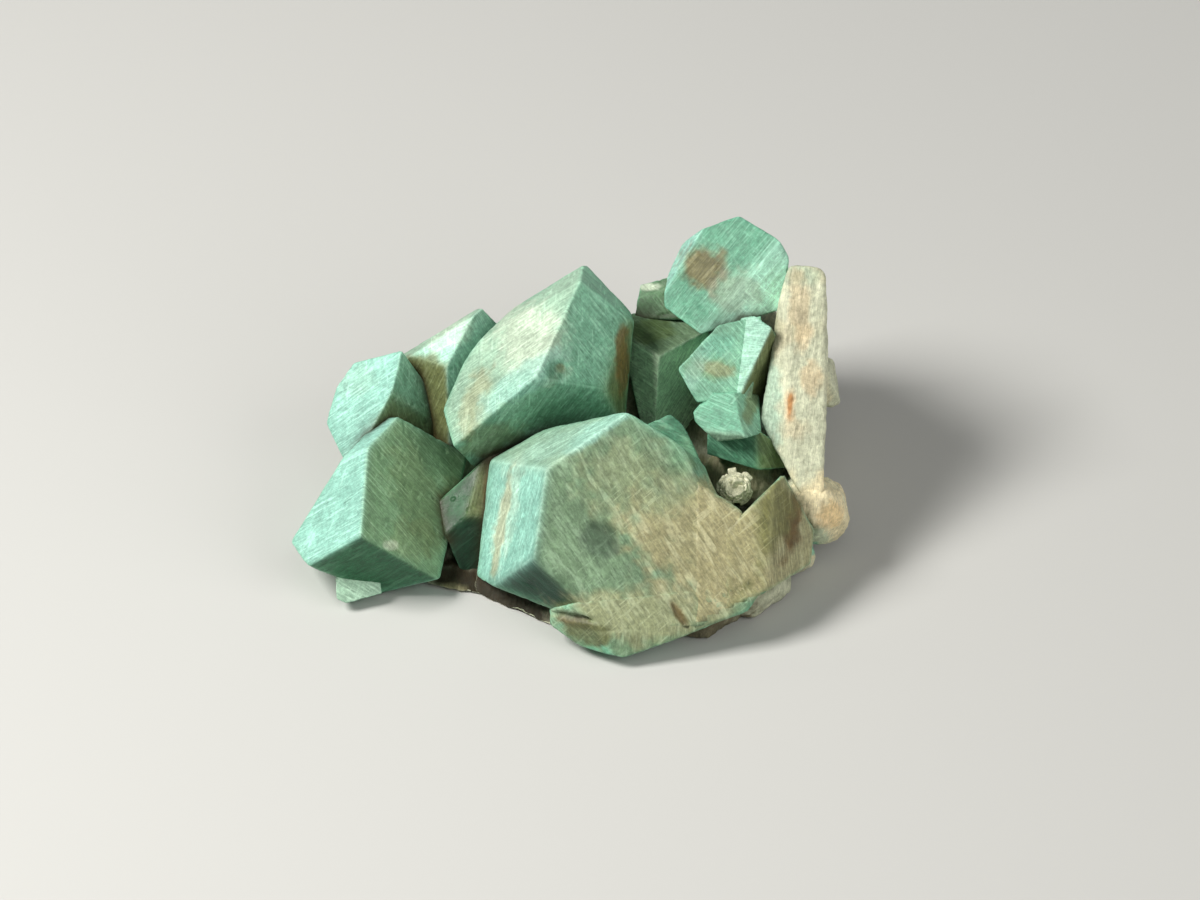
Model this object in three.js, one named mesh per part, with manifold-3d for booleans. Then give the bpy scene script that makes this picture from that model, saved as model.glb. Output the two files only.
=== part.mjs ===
// Amazonite crystal cluster: blocky green feldspar crystals grown together, on pale
// feldspar matrix, with a tuft of white albite blades in a hollow between them.
//
// Every crystal is a convex solid between flat faces. A face is given by three of its
// corners, and a corner by its place across, up and out of the showy side, in millimetres.
// The showy side leans back from upright by LEAN, and the specimen rests on a flat cut.
import * as THREE from 'three';
import Module from 'manifold-3d';
import { ConvexGeometry } from 'three/addons/geometries/ConvexGeometry.js';
import { mergeVertices } from 'three/addons/utils/BufferGeometryUtils.js';

const LEAN = THREE.MathUtils.degToRad(40); // how far the showy side leans back from upright
const CENTRE_HEIGHT = 23.8; // height of the showy side's middle above the base
const CENTRE_ACROSS = -0.4; // moves the specimen so that its box is centred on the origin
const CENTRE_DEPTH = -2.83;
const GAP = 0.3; // clearance between the separate minerals
const CUT_SIZE = 300; // edge of the block that cuts the base flat
const SAME_POINT = 1e-4;
const BEHIND = -1;
const TOWARDS_VIEWER = 1;

const TUFT_ROOT = [33, -9.6, 4.6];
const TUFT_ROWS = [[30, 5, 4.2], [66, 3, 4.6]]; // tip in degrees, blades, length
const BLADE_WIDTH = 3;
const BLADE_THICKNESS = 1.3;
const BLADE_OUTLINE = [[-0.2, 0.6], [0.7, 1], [1, 0.4]]; // share of length, share of width

const wasm = await Module();
wasm.setup();

// The direction out of the showy side, in the specimen's own upright frame
const OUT = new THREE.Vector3(0, -Math.cos(LEAN), Math.sin(LEAN));
const UP = new THREE.Vector3(0, Math.sin(LEAN), Math.cos(LEAN));

// A point given across, up and out of the showy side
function at(across, up, out) {
  const point = new THREE.Vector3(across + CENTRE_ACROSS, CENTRE_DEPTH, CENTRE_HEIGHT);
  return point.addScaledVector(UP, up).addScaledVector(OUT, out);
}

function faceThrough(corners, side) {
  const [a, b, c] = corners.map((corner) => at(...corner));
  const plane = new THREE.Plane().setFromCoplanarPoints(a, b, c);
  return plane.normal.dot(OUT) * side > 0 ? plane : plane.negate();
}

// A face that shows, through three corners
const face = (...corners) => faceThrough(corners, TOWARDS_VIEWER);

// A face that turns away behind an outline, through three corners
const back = (...corners) => faceThrough(corners, BEHIND);

// A flat back at a given depth, parallel to the showy side
const backAt = (depth) => back([0, 0, depth], [1, 0, depth], [0, 1, depth]);

function meetingPoint(first, second, third) {
  const crossed = new THREE.Vector3().crossVectors(second.normal, third.normal);
  const volume = first.normal.dot(crossed);
  if (Math.abs(volume) < SAME_POINT) return null;
  const point = crossed.multiplyScalar(-first.constant);
  point.addScaledVector(new THREE.Vector3().crossVectors(third.normal, first.normal), -second.constant);
  point.addScaledVector(new THREE.Vector3().crossVectors(first.normal, second.normal), -third.constant);
  return point.divideScalar(volume);
}

function toManifold(geometry) {
  const bare = geometry.clone();
  bare.deleteAttribute('normal');
  bare.deleteAttribute('uv');
  const merged = mergeVertices(bare, SAME_POINT);
  return new wasm.Manifold(new wasm.Mesh({
    numProp: 3,
    vertProperties: new Float32Array(merged.attributes.position.array),
    triVerts: new Uint32Array(merged.index.array),
  }));
}

// The solid between flat faces, each moved outwards by grow
function convexSolid(faces, grow) {
  const planes = faces.map((plane) => plane.clone().translate(plane.normal.clone().multiplyScalar(grow)));
  const points = [];
  for (let i = 0; i < planes.length; i++) {
    for (let j = i + 1; j < planes.length; j++) {
      for (let k = j + 1; k < planes.length; k++) {
        const point = meetingPoint(planes[i], planes[j], planes[k]);
        if (point && planes.every((plane) => plane.distanceToPoint(point) < SAME_POINT)) points.push(point);
      }
    }
  }
  return toManifold(new ConvexGeometry(points));
}

function join(bodies, grow = 0) {
  const solids = bodies.map((faces) => convexSolid(faces, grow));
  return solids.reduce((whole, solid) => whole.add(solid));
}

function leftFrontCrystal() {
  const near = [-41.6, -19.2, 18];
  const ridgeTop = [-40.4, -1.6, 6];
  const leftLow = [-51.6, -24.8, 9.8];
  const rightLow = [-29.6, -26, 8.1];
  const apex = [-34.6, 4.8, -4.6];
  const leftTop = [-45.4, -3.4, 1.1];
  const leftFar = [-56.4, -21.2, 1.2];
  return [
    face(near, ridgeTop, leftLow),
    face(near, ridgeTop, rightLow),
    face(near, leftLow, rightLow),
    face(ridgeTop, apex, leftTop),
    back(apex, [-27.2, 0, -14], [-30, -2, -26]),
    back(leftTop, leftFar, [-48, -14, -20]),
    back([-56, -22.4, 2], [-52, -25.3, 8.6], [-50, -22, -20]),
    back([-52, -25.3, 8.6], [-46.8, -28.8, 4.5], [-46, -24, -20]),
    back([-46.8, -28.6, 4.5], [-39, -31, 0.8], [-40, -27, -20]),
    back([-39, -31, 0.8], [-28.6, -28.2, 3], [-34, -26, -20]),
    back([-20.5, -6, -10], [-26.5, -28, 2], [-27, -16, -24]),
    backAt(-22),
  ];
}

function leftBackCrystal() {
  const near = [-35.8, 9.6, -6];
  const apex = [-33.8, 18, -8.5];
  const leftSide = [-47.4, 8, -14.8];
  const rightSide = [-27.2, 9, -15.4];
  return [
    face(near, apex, leftSide),
    face(near, apex, rightSide),
    face(near, [-39.8, 2, -5.6], [-31, 7, -10.9]),
    back(apex, [-43.6, 15.6, -15.4], [-38, 14, -28]),
    back([-43.6, 15.6, -15.4], [-46.8, 11, -16.5], [-41, 10, -28]),
    back([-46.8, 11, -16.5], [-49.2, 3.4, -14], [-43, 6, -28]),
    back([-49.2, 3.4, -14], [-45, -4.4, -8], [-42, -2, -24]),
    back(apex, rightSide, [-32, 9, -28]),
    back(rightSide, [-24.6, -1, -17], [-28, 4, -28]),
    back([-45, -10, -10], [-25, -10, -10], [-35, -6, -24]),
    backAt(-29),
  ];
}

function smallBackCrystal() {
  const ridgeTop = [-18.8, 26.4, -8];
  const ridgeLow = [-24.8, 14.8, -8];
  const leftEnd = [-33.6, 18, -14];
  return [
    face(ridgeTop, ridgeLow, leftEnd),
    face(ridgeTop, ridgeLow, [-15.2, 23.6, -11.5]),
    face([-21.6, 23.6, -8.9], [-29, 19, -11.9], [-26, 22.5, -15]),
    face(ridgeLow, [-33, 17.2, -13.6], [-27.6, 8, -13]),
    back([-19.6, 26.5, -9], [-33.6, 18.2, -15], [-25, 18, -30]),
    back([-18, 26.6, -9], [-15, 23.8, -11.6], [-19, 20, -30]),
    back([-12, 20, -10], [-12, 0, -10], [-15, 10, -28]),
    back([-34.4, 17, -14], [-33, 5, -14], [-30, 10, -30]),
    back([-30, -4, -10], [-10, -4, -10], [-20, 0, -28]),
    backAt(-30),
  ];
}

function upperCentreCrystal() {
  const top = [2, 31.8, 8];
  const near = [-7, 12.4, 10.3];
  const leftTop = [-15.2, 21.6, -2.2];
  const leftLow = [-21.8, 0.6, 4.1];
  const rightTop = [11.6, 24.2, -0.5];
  const rightLow = [8.2, 8.4, -3];
  const crest = [3, 35.2, -1];
  return [
    face(top, near, leftTop),
    face(top, near, rightTop),
    face(top, leftTop, crest),
    face(top, rightTop, [8.8, 30.4, -8]),
    face(rightTop, [7.6, 12, -0.3], [11.8, 14, -7]),
    face(near, leftLow, rightLow),
    back([2.2, 35, -1], [-14.2, 25, -11.2], [-6, 27, -26]),
    back([4, 34.8, -3], [12.4, 25.8, -6], [6, 27, -26]),
    back([-14.8, 23.4, -7], [-21, 16.4, -4.7], [-15, 15, -26]),
    back([-21, 16.4, -4.7], [-25.6, 6.2, -3.5], [-18, 8, -26]),
    back([-25.6, 6.2, -3.5], [-20, -4.8, -3.5], [-17, 0, -24]),
    back([12.4, 25.8, -6], [12, 10, -8], [8, 16, -26]),
    back([-20, -6, -3], [10, -3, -3], [0, 2, -24]),
    backAt(-28),
  ];
}

function shadedCrystal() {
  const near = [17.8, 16.8, -7];
  const left = [11.2, 21.4, -13];
  const right = [26, 21.2, -12.7];
  const low = [17.2, 4.2, -15.5];
  return [
    face(near, left, right),
    face(near, left, low),
    face(near, right, low),
    back([12.6, 26, -17], [20, 27, -17.4], [16, 22, -34]),
    back([10, 23, -15], [12.4, 10, -16], [14, 15, -34]),
    back([28, 20, -15], [29, 6, -17], [26, 12, -34]),
    back([11, 11, -16], [11, -8, -19], [15, 2, -34]),
    back([12, -9, -17], [31, -9, -20], [22, -5, -34]),
    backAt(-30),
  ];
}

function backFragment() {
  return [
    face([14.2, 28.8, -18], [14, 31, -18.4], [19.4, 32, -17]),
    face([13.2, 26.2, -17.4], [14.2, 28.8, -18], [19, 27, -15.6]),
    back([13.2, 26, -18], [14.2, 31.2, -19], [15.4, 28, -32]),
    back([14, 31.2, -19], [20, 32.4, -19], [17, 29, -32]),
    back([24, 32, -18], [24, 20, -18], [22, 26, -32]),
    back([12, 24.4, -18], [24, 24.4, -18], [18, 25.4, -32]),
    backAt(-31),
  ];
}

function topCrystal() {
  const seamTop = [40.8, 38.6, 1];
  const seamLow = [28.6, 24, 3.5];
  return [
    face(seamTop, seamLow, [20, 30, 1.5]),
    face(seamTop, seamLow, [43.2, 30, -0.6]),
    face([26, 40.6, 1.4], [21.8, 34, 2.0], [19.6, 33, -3]),
    back([22.6, 40.9, -1], [33.2, 44.6, -1], [28, 39, -22]),
    back([34.4, 44.5, -1], [41.4, 39.8, -2], [36, 39, -22]),
    back([41.4, 39.8, -2], [43.7, 36.2, -2], [39, 35, -22]),
    back([43.7, 36.2, -2], [42.4, 24, -2], [40, 30, -22]),
    back([22.6, 41, -3], [19, 32, -3], [22, 35, -22]),
    back([19, 32.4, -1], [19.1, 26.8, 0.5], [22, 29, -20]),
    back([19.1, 26.8, 0.5], [26.2, 21.1, 3.2], [26, 27, -20]),
    back([26.2, 21.1, 3.2], [41, 25.6, -0.4], [34, 27, -20]),
    backAt(-23),
  ];
}

function steppedCrystalTop() {
  const seamTop = [35.4, 24.2, 4.6];
  const seamLow = [33, 8.2, 5.6];
  const leftEnd = [21.4, 14.2, 8.4];
  return [
    face(seamTop, seamLow, leftEnd),
    back([38, 24.6, 3], [29.6, 23.1, 6.6], [33, 20, -18]),
    back([29.6, 23.1, 6.6], leftEnd, [27, 15, -18]),
    back(leftEnd, [25.2, 7.4, 7.8], [28, 11, -18]),
    back([25.2, 7.4, 7.8], [34, 8, 5.4], [31, 9.5, -12]),
    back([38, 24, 2], [36, 6, 4], [35, 14, -20]),
    backAt(-20),
  ];
}

// The bright rib along the stepped crystal's right side
function steppedCrystalRib() {
  const seamTop = [35, 24.2, 4.4];
  const seamLow = [33, 8.2, 5.4];
  return [
    face(seamTop, seamLow, [39.8, 22, 9.4]),
    face([40.2, 22.2, 9.6], [35.8, 13.4, 8], [41, 16, 1]),
    back([36.8, 24.9, 6], [34, 24.4, 3.6], [36, 21, -14]),
    back([36.8, 24.9, 6], [40.8, 22, 9.4], [38, 19, -14]),
    back([33, 6.4, 6], [37, 6, 6], [35, 9, -14]),
    back([33.6, 20, 4], [32.2, 8, 5], [34, 14, -14]),
    backAt(-15),
  ];
}

function steppedCrystalMiddle() {
  const ridgeTop = [32.8, 8.6, 8.8];
  const ridgeLow = [35.2, 0.6, 12.2];
  return [
    face([26, 7.2, 6.8], ridgeTop, [33, 1.4, 12.2]),
    face(ridgeTop, ridgeLow, [37, 4, 6.4]),
    face([26.8, 1.8, 9.6], [33, 1.2, 12.2], [31, -0.4, 9.2]),
    back([24.6, 5.6, 6.5], [26.2, 7.6, 7], [28, 8, -12]),
    back([24.6, 5.6, 6.5], [25, 3.4, 7.6], [28, 4, -12]),
    back([25, 3.6, 7.6], [27, 1.6, 9], [29, 3, -12]),
    back([30, -0.4, 9], [35.4, 0.4, 12], [33, 2, -12]),
    back([38, 10, 5], [38, 0, 5], [37, 5, -12]),
    back([26, 9.4, 6], [36, 9.4, 6], [31, 8, -12]),
    backAt(-16),
  ];
}

function steppedCrystalLow() {
  return [
    face([28, 1, 5], [37, 1, 7.6], [37.6, -5.6, 6]),
    face([37, 1, 7.6], [37.6, -5.6, 6], [44, -5, 3]),
    back([27.4, 2, 6], [27.2, -3, 5], [29, 0, -14]),
    back([27.2, -3, 5], [37.6, -6, 6], [33, -3, -14]),
    back([37.6, -6, 6], [46, -5.4, 2.6], [40, -3, -14]),
    back([26, 3.4, 4], [35, 3, 4], [30, 2, -14]),
    back([35, 3, 4], [46, -3.4, 4], [38, -2, -14]),
    back([46, 4, 3], [46, -6, 3], [44, 0, -14]),
    backAt(-16),
  ];
}

function bigFrontCrystal() {
  const ridgeLeft = [-4.8, -5.8, 21];
  const ridgeRight = [10.4, 5, 19.8];
  const leftTop = [-16.2, -4, -1];
  const frontLow = [-6.6, -24, 21.3];
  return [
    face(ridgeLeft, ridgeRight, frontLow),
    face(ridgeLeft, leftTop, [-6.8, -20, 21.2]),
    face(ridgeLeft, ridgeRight, leftTop),
    face(frontLow, [2, -32.4, 20.6], [-12.8, -27.2, 11.9]),
    face([22, -1, 19.1], [25.4, -8, 18.9], [27.6, -7, 14]),
    back(leftTop, [-5, 2.4, 1.3], [-9, -2, -20]),
    back([-5, 2.4, 1.3], [11.2, 5.8, 19], [4, 0, -20]),
    back([11.4, 5.6, 19], [22, -1, 19.1], [17, -1, -10]),
    back(leftTop, [-17.6, -25, -4], [-13, -15, -22]),
    back([-17.4, -27, -3], [-13, -30, 6], [-12, -25, -20]),
    back([-13, -30, 6], [2, -36, 16], [-2, -31, -16]),
    back([28, -8, 12], [36, -31, 12], [28, -20, -14]),
    back([2, -36, 16], [26, -36.6, 16], [16, -30, -14]),
    back([26, -36.6, 16], [36, -31.4, 16], [26, -29, -14]),
    backAt(-22),
  ];
}

function bigFrontCrystalRight() {
  return [
    face([20, -5, 19.25], [34.6, -14.4, 18.28], [30, -32, 18.78]),
    back([20, -4.4, 18.4], [34.4, -14.2, 17.4], [30, -12, -8]),
    back([34.2, -13.6, 17], [36.4, -35, 17], [34, -24, -12]),
    back([25, -8, 16], [25, -30, 16], [27, -20, -12]),
    back([26, -36.2, 16], [36, -31, 16], [28, -29, -12]),
    backAt(-14),
  ];
}

function bigFrontCrystalTip() {
  const edgeHigh = [40.6, -10, 17.86];
  const edgeLow = [39.4, -28, 18.11];
  return [
    face([34.6, -14.4, 18.33], edgeHigh, [34, -31, 18.53]),
    face(edgeHigh, edgeLow, [46.6, -18, 11.6]),
    back([34.2, -14.8, 17], [42.2, -7, 14.6], [40, -10, -6]),
    back([42.2, -6.8, 14], [48.8, -18, 9], [42, -12, -8]),
    back([48.8, -17, 9], [47.6, -25, 8], [44, -21, -8]),
    back([48.4, -24.4, 8], [37, -30.8, 15], [40, -26, -8]),
    back([31, -10, 14], [31, -30, 14], [32, -20, -8]),
    backAt(-12),
  ];
}

// The lower rim that shows behind the big crystal's upper right edge
function bigFrontCrystalShoulder() {
  return [
    face([18, 2, 9], [24, 0, 9.6], [30, -12, 12.4]),
    back([14, 2.4, 8], [20, 5.2, 8], [19, 2, -12]),
    back([20, 5.2, 8], [22.8, 2.8, 8.6], [20, 2, -12]),
    back([22.8, 2.8, 8.6], [29, -10, 11], [24, -4, -12]),
    back([10, -5, 8], [30, -20, 10], [20, -10, -12]),
    backAt(-14),
  ];
}

function bigFrontCrystalLip() {
  return [
    face([4, -36, 20.1], [34, -32, 17.95], [14, -43, 18.4]),
    face([4, -36, 20.1], [10, -43.6, 18.5], [-3.8, -37, 14.6]),
    back([-3.6, -35, 14], [-3.8, -37, 14], [0, -36, -4]),
    back([-3.8, -37, 14.6], [2, -41.2, 16.6], [4, -37, -4]),
    back([2, -41.2, 16.6], [11, -43.4, 18.6], [8, -39, -4]),
    back([11, -43.4, 18.6], [17.6, -40.8, 18.2], [12, -37, -4]),
    back([17.6, -40.8, 18.2], [34, -35, 17.2], [22, -33, -4]),
    back([34, -35.2, 16.4], [37.6, -30, 15.6], [32, -31, -4]),
    back([-4, -33.6, 16], [36, -29, 16], [10, -35, -4]),
    backAt(-8),
  ];
}

function valleyCrystal() {
  const ridgeTop = [-18, -5, -3];
  const ridgeLow = [-20.6, -15, -0.5];
  return [
    face(ridgeTop, ridgeLow, [-26, -12.2, -4.2]),
    face(ridgeTop, ridgeLow, [-15, -12, -2]),
    face(ridgeLow, [-23.6, -21.2, -2], [-17, -24.6, -3.6]),
    back([-16.4, -3.2, -4], [-27, -13, -6], [-22, -10, -22]),
    back([-24, -21.2, -2.4], [-21.2, -27.5, -5], [-21, -16, -22]),
    back([-21.2, -26.5, -5], [-16, -25, -5], [-18, -5, -22]),
    back([-27.4, -10, -5], [-25.6, -24, -5], [-24, -15, -22]),
    back([-12, 0, -3], [-12, -20, -3], [-14, -10, -22]),
    backAt(-22),
  ];
}

function lowerNub() {
  return [
    face([-46.4, -28, 5.8], [-45.6, -32.4, 6], [-38.4, -30.4, 4.6]),
    back([-46.7, -27, 5], [-46.3, -32, 5], [-43, -30, -8]),
    back([-46.3, -31.8, 5.8], [-44.6, -32.7, 6], [-42, -30, -8]),
    back([-44.6, -32.7, 6], [-37.8, -30.7, 4.4], [-40, -28, -8]),
    back([-37.6, -31, 4], [-38, -27, 4], [-41, -29, -8]),
    back([-46, -26.5, 5], [-38, -26.5, 5], [-42, -28.5, -8]),
    backAt(-5),
  ];
}

// Broken rock faces: directions across, up and out, with how far out each face lies
const ROCK_FACES = [
  [1, 0.15, 0.1, 0.95], [-1, -0.1, 0.2, 0.96], [0.1, 1, -0.1, 0.9], [-0.1, -1, 0.15, 0.95],
  [0.05, 0.1, 1, 0.9], [0.1, -0.05, -1, 0.92], [0.9, 0.8, 0.3, 0.9], [-0.8, 0.9, 0.2, 0.93],
  [0.8, -0.9, 0.35, 0.88], [-0.9, -0.75, -0.2, 0.92], [0.7, 0.2, -0.9, 0.9], [-0.6, 0.3, -0.9, 0.93],
  [0.2, 0.8, -0.8, 0.9], [-0.1, -0.7, -0.8, 0.94], [0.7, 0.1, 0.8, 0.88], [-0.7, 0.25, 0.7, 0.92],
  [0.15, 0.75, 0.8, 0.9], [-0.2, -0.8, 0.7, 0.9],
];

// A lump of matrix: a block with its corners knocked off, from its middle and half sizes
function lump(middle, half) {
  return ROCK_FACES.map(([across, up, out, reach]) => {
    const direction = new THREE.Vector3().addScaledVector(UP, up).addScaledVector(OUT, out);
    direction.x += across;
    direction.normalize();
    const local = [direction.x, direction.dot(UP), direction.dot(OUT)];
    const size = Math.hypot(...local.map((part, axis) => part * half[axis])) * reach;
    const point = at(...middle).addScaledVector(direction, size);
    return new THREE.Plane().setFromNormalAndCoplanarPoint(direction, point);
  });
}

function paleSlab() {
  return [
    face([42.4, 30, 7.2], [43.4, -4, 8.6], [50.6, 10, 7]),
    face([42.4, 30, 7.2], [43.4, -4, 8.6], [38.6, 12, 2.4]),
    face([50.8, 30, 6.4], [51, -4, 7.2], [52.8, 12, 2.4]),
    back([42, 34.9, 4], [50, 34.6, 2], [46, 33, -16]),
    back([49.8, 34.8, 5], [51.2, 32.8, 4], [48, 31, -16]),
    back([50.9, 33, 2], [51.5, 14, 2], [49, 22, -16]),
    back([51.5, 16, 2], [49.5, -2, 3], [48.4, 6, -16]),
    back([40.6, 22, 3], [38, 8, 3], [41, 14, -16]),
    back([38, 9, 3], [43.8, -6, 6], [42, 0, -16]),
    back([41, 23, 3], [42.8, 34.6, 3], [42.6, 28, -16]),
    back([40, -12, 4], [52, -12, 4], [46, -10, -16]),
    backAt(-27),
  ];
}

// The rough underside below the left front crystals
function undersideLeft() {
  return [
    face([-30, -29, -1.2], [-14, -32, 1.6], [-22, -25, -4]),
    back([-30, -29, -1.2], [-14, -32, 1.6], [-22, -27, -20]),
    back([-29.4, -30, -4], [-29, -22, -4], [-27, -26, -20]),
    back([-8, -34, -2], [-8, -20, -2], [-10, -27, -20]),
    back([-30, -8, -2], [0, -8, -2], [-14, -10, -20]),
    backAt(-26),
  ];
}

function undersideRight() {
  return [
    face([-20, -30.4, 0], [-3.8, -37.4, 8], [-8, -29, 4]),
    back([-20, -30.4, 0], [-3.8, -37.4, 8], [-10, -29, -16]),
    back([-19, -34, 0], [-19, -24, -2], [-17, -28, -18]),
    back([2, -38, 4], [2, -26, 4], [0, -32, -16]),
    back([-20, -24, 2], [4, -24, 4], [-8, -26, -18]),
    backAt(-18),
  ];
}

const matrixLumps = () => [
  paleSlab(),
  undersideLeft(),
  undersideRight(),
  lump([50.2, 12.4, -5], [2.7, 4.8, 11]),
  lump([47.8, -13.6, 0], [7.9, 7.2, 11]),
  lump([42.2, -19.8, 0], [6.4, 7.8, 11]),
  lump([33.4, -28, 3], [11.2, 8.4, 11]),
  lump([24, -33, 4], [12, 8.8, 12]),
  lump([36, -8, -10], [9, 9, 9]),
  lump([33, -10, -1.4], [3.2, 2.8, 5.4]),
  lump([4, -4, -32], [42, 25, 10]),
  lump([31, 11, -33], [20, 21, 9]),
  lump([-25, 0, -29], [19, 15, 9]),
  lump([10, -20, -12], [28, 16, 14]),
];

// A blade of albite: a thin plate with a bevelled tip, swung sideways and tipped forwards
function blade(root, length, width, thickness, swing, tip) {
  const frame = new THREE.Matrix4().makeRotationFromEuler(new THREE.Euler(tip, 0, -swing, 'ZXY'));
  const corners = [];
  for (const [reach, share] of BLADE_OUTLINE) {
    for (const side of [-1, 1]) {
      for (const skin of [-1, 1]) {
        const local = new THREE.Vector3(side * share * width / 2, reach * length, skin * thickness / 2);
        local.applyMatrix4(frame);
        corners.push(at(root[0] + local.x, root[1] + local.y, root[2] + local.z));
      }
    }
  }
  return toManifold(new ConvexGeometry(corners));
}

// The blades fan out from one root, in rows that tip further towards the viewer
function albiteTuft() {
  const blades = [];
  for (const [tipDegrees, count, length] of TUFT_ROWS) {
    for (let k = 0; k < count; k++) {
      const swing = THREE.MathUtils.degToRad(360 * k / count + tipDegrees);
      const tip = THREE.MathUtils.degToRad(tipDegrees);
      blades.push(blade(TUFT_ROOT, length, BLADE_WIDTH, BLADE_THICKNESS, swing, tip));
    }
  }
  return blades.reduce((whole, solid) => whole.add(solid));
}

const crystalBodies = () => [
  leftFrontCrystal(), leftBackCrystal(), smallBackCrystal(), upperCentreCrystal(), shadedCrystal(),
  backFragment(), topCrystal(), steppedCrystalTop(), steppedCrystalRib(), steppedCrystalMiddle(), steppedCrystalLow(),
  bigFrontCrystal(), bigFrontCrystalRight(), bigFrontCrystalTip(), bigFrontCrystalLip(),
  bigFrontCrystalShoulder(),
  valleyCrystal(), lowerNub(),
];

const cutBlock = new THREE.BoxGeometry(CUT_SIZE, CUT_SIZE, CUT_SIZE).translate(0, 0, -CUT_SIZE / 2);
const belowBase = toManifold(cutBlock);

function mesh(name, solid, colour, roughness) {
  const data = solid.getMesh();
  const geometry = new THREE.BufferGeometry();
  geometry.setAttribute('position', new THREE.BufferAttribute(data.vertProperties, 3));
  geometry.setIndex(new THREE.BufferAttribute(data.triVerts, 1));
  geometry.computeVertexNormals();
  const material = new THREE.MeshStandardMaterial({ color: colour, roughness, metalness: 0 });
  const node = new THREE.Mesh(geometry, material);
  node.name = name;
  return node;
}

const crystals = join(crystalBodies()).subtract(belowBase);
const matrix = join(matrixLumps()).subtract(belowBase).subtract(join(crystalBodies(), GAP));
const tuft = albiteTuft().subtract(join(crystalBodies(), GAP)).subtract(join(matrixLumps(), GAP));

const group = new THREE.Group();
group.add(mesh('amazonite_crystals', crystals, 0x6fb597, 0.45));
group.add(mesh('pale_feldspar_matrix', matrix, 0xcfc7a4, 0.75));
group.add(mesh('albite_tuft', tuft, 0xd8d6c4, 0.55));

export default group;
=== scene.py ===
"""Amazonite crystal cluster: worn green feldspar crystals on pale matrix, with a tuft of albite.

Each crystal is one closed surface round its middle, held between flat faces whose edges are
worn round. A face is given by three of its corners, across, up and out of the showy side, in
millimetres. The showy side leans back from upright by LEAN, and the specimen rests on a flat cut.
"""
from itertools import combinations, product

import bpy
import numpy as np
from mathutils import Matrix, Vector


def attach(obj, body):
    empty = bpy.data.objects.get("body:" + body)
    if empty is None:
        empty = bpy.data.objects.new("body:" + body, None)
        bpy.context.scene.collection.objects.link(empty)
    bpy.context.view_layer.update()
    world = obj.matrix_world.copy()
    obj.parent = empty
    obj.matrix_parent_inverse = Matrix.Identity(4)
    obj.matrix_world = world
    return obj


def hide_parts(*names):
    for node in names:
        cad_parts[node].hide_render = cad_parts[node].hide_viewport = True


bl_info = {
    "name": "Amazonite crystal cluster",
    "version": (1, 0, 0),
    "blender": (4, 5, 0),
    "location": "View3D > Sidebar > Crystals",
    "description": "Builds a worn amazonite crystal cluster with its matrix and albite",
    "category": "Add Mesh",
}

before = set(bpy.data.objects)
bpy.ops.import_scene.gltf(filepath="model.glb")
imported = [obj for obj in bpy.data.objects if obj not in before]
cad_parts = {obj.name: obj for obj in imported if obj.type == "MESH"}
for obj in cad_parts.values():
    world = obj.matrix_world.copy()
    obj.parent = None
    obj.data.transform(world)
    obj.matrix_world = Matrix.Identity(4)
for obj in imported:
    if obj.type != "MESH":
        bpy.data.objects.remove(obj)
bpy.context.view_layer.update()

MM = 0.001
LEAN = np.radians(40)  # how far the showy side leans back from upright
CENTRE = np.array([-0.4, -2.83, 23.8])  # the showy side's middle, from the base's middle
ACROSS = np.array([1.0, 0.0, 0.0])
UP = np.array([0.0, np.sin(LEAN), np.cos(LEAN)])
OUT = np.array([0.0, -np.cos(LEAN), np.sin(LEAN)])
SHOWY = np.stack([ACROSS, UP, OUT])
BASE_FACE = (np.array([0.0, 0.0, -1.0]), 0.0)
SAME_POINT = 1e-4
CREVICE_REACH = 1.3  # how far the painted shade of a hollow reaches, in millimetres
BURIED = 2  # how deep inside a neighbour, in millimetres, a point no longer gets painted shade
NOISE_CELLS = 32  # how many random values the noise has along each way before it repeats
NOISE_SHIFT = 400  # moves the noise's own corner away from the specimen
TONE_SHARPNESS = 32  # how suddenly the tone changes at an edge between two faces
TONE_SHARE = 0.95  # how much a face's tone, with its painted light and shade, counts beside the plain one
CRYSTAL_SEED, ROCK_SEED, TUFT_SEED, SEED_STEP = 100, 500, 900, 20
CAMERA_DISTANCE = 2.667  # metres
CAMERA_AIM = (6, -2, 0)  # on the showy side, in millimetres
FLOOR_REACH = 3.0  # metres from the middle to each side


def row_frame(points):
    """Points given across, up and out of the showy side, in the specimen's own frame."""
    return np.asarray(points, float) @ SHOWY + CENTRE


def showy_frame(points):
    """The other way: specimen points as across, up and out of the showy side."""
    return (points - CENTRE) @ SHOWY.T


def face_through(corners, side):
    """A face through three corners, turned out of the showy side, or into it where side is -1."""
    a, b, c = row_frame(corners)
    normal = np.cross(b - a, c - a)
    normal /= np.linalg.norm(normal)
    if normal @ OUT * side < 0:
        normal = -normal
    return normal, normal @ a


def solid(shown, hidden, depth):
    """The faces of one solid, each through three corners: the ones that show, the ones that turn away
    behind its outline, and its flat back, at a level out of the showy side's middle."""
    level = ((0, 0, depth), (1, 0, depth), (0, 1, depth))
    faces = [face_through(corners, 1) for corners in shown]
    return faces + [face_through(corners, -1) for corners in (*hidden, level)]


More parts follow.
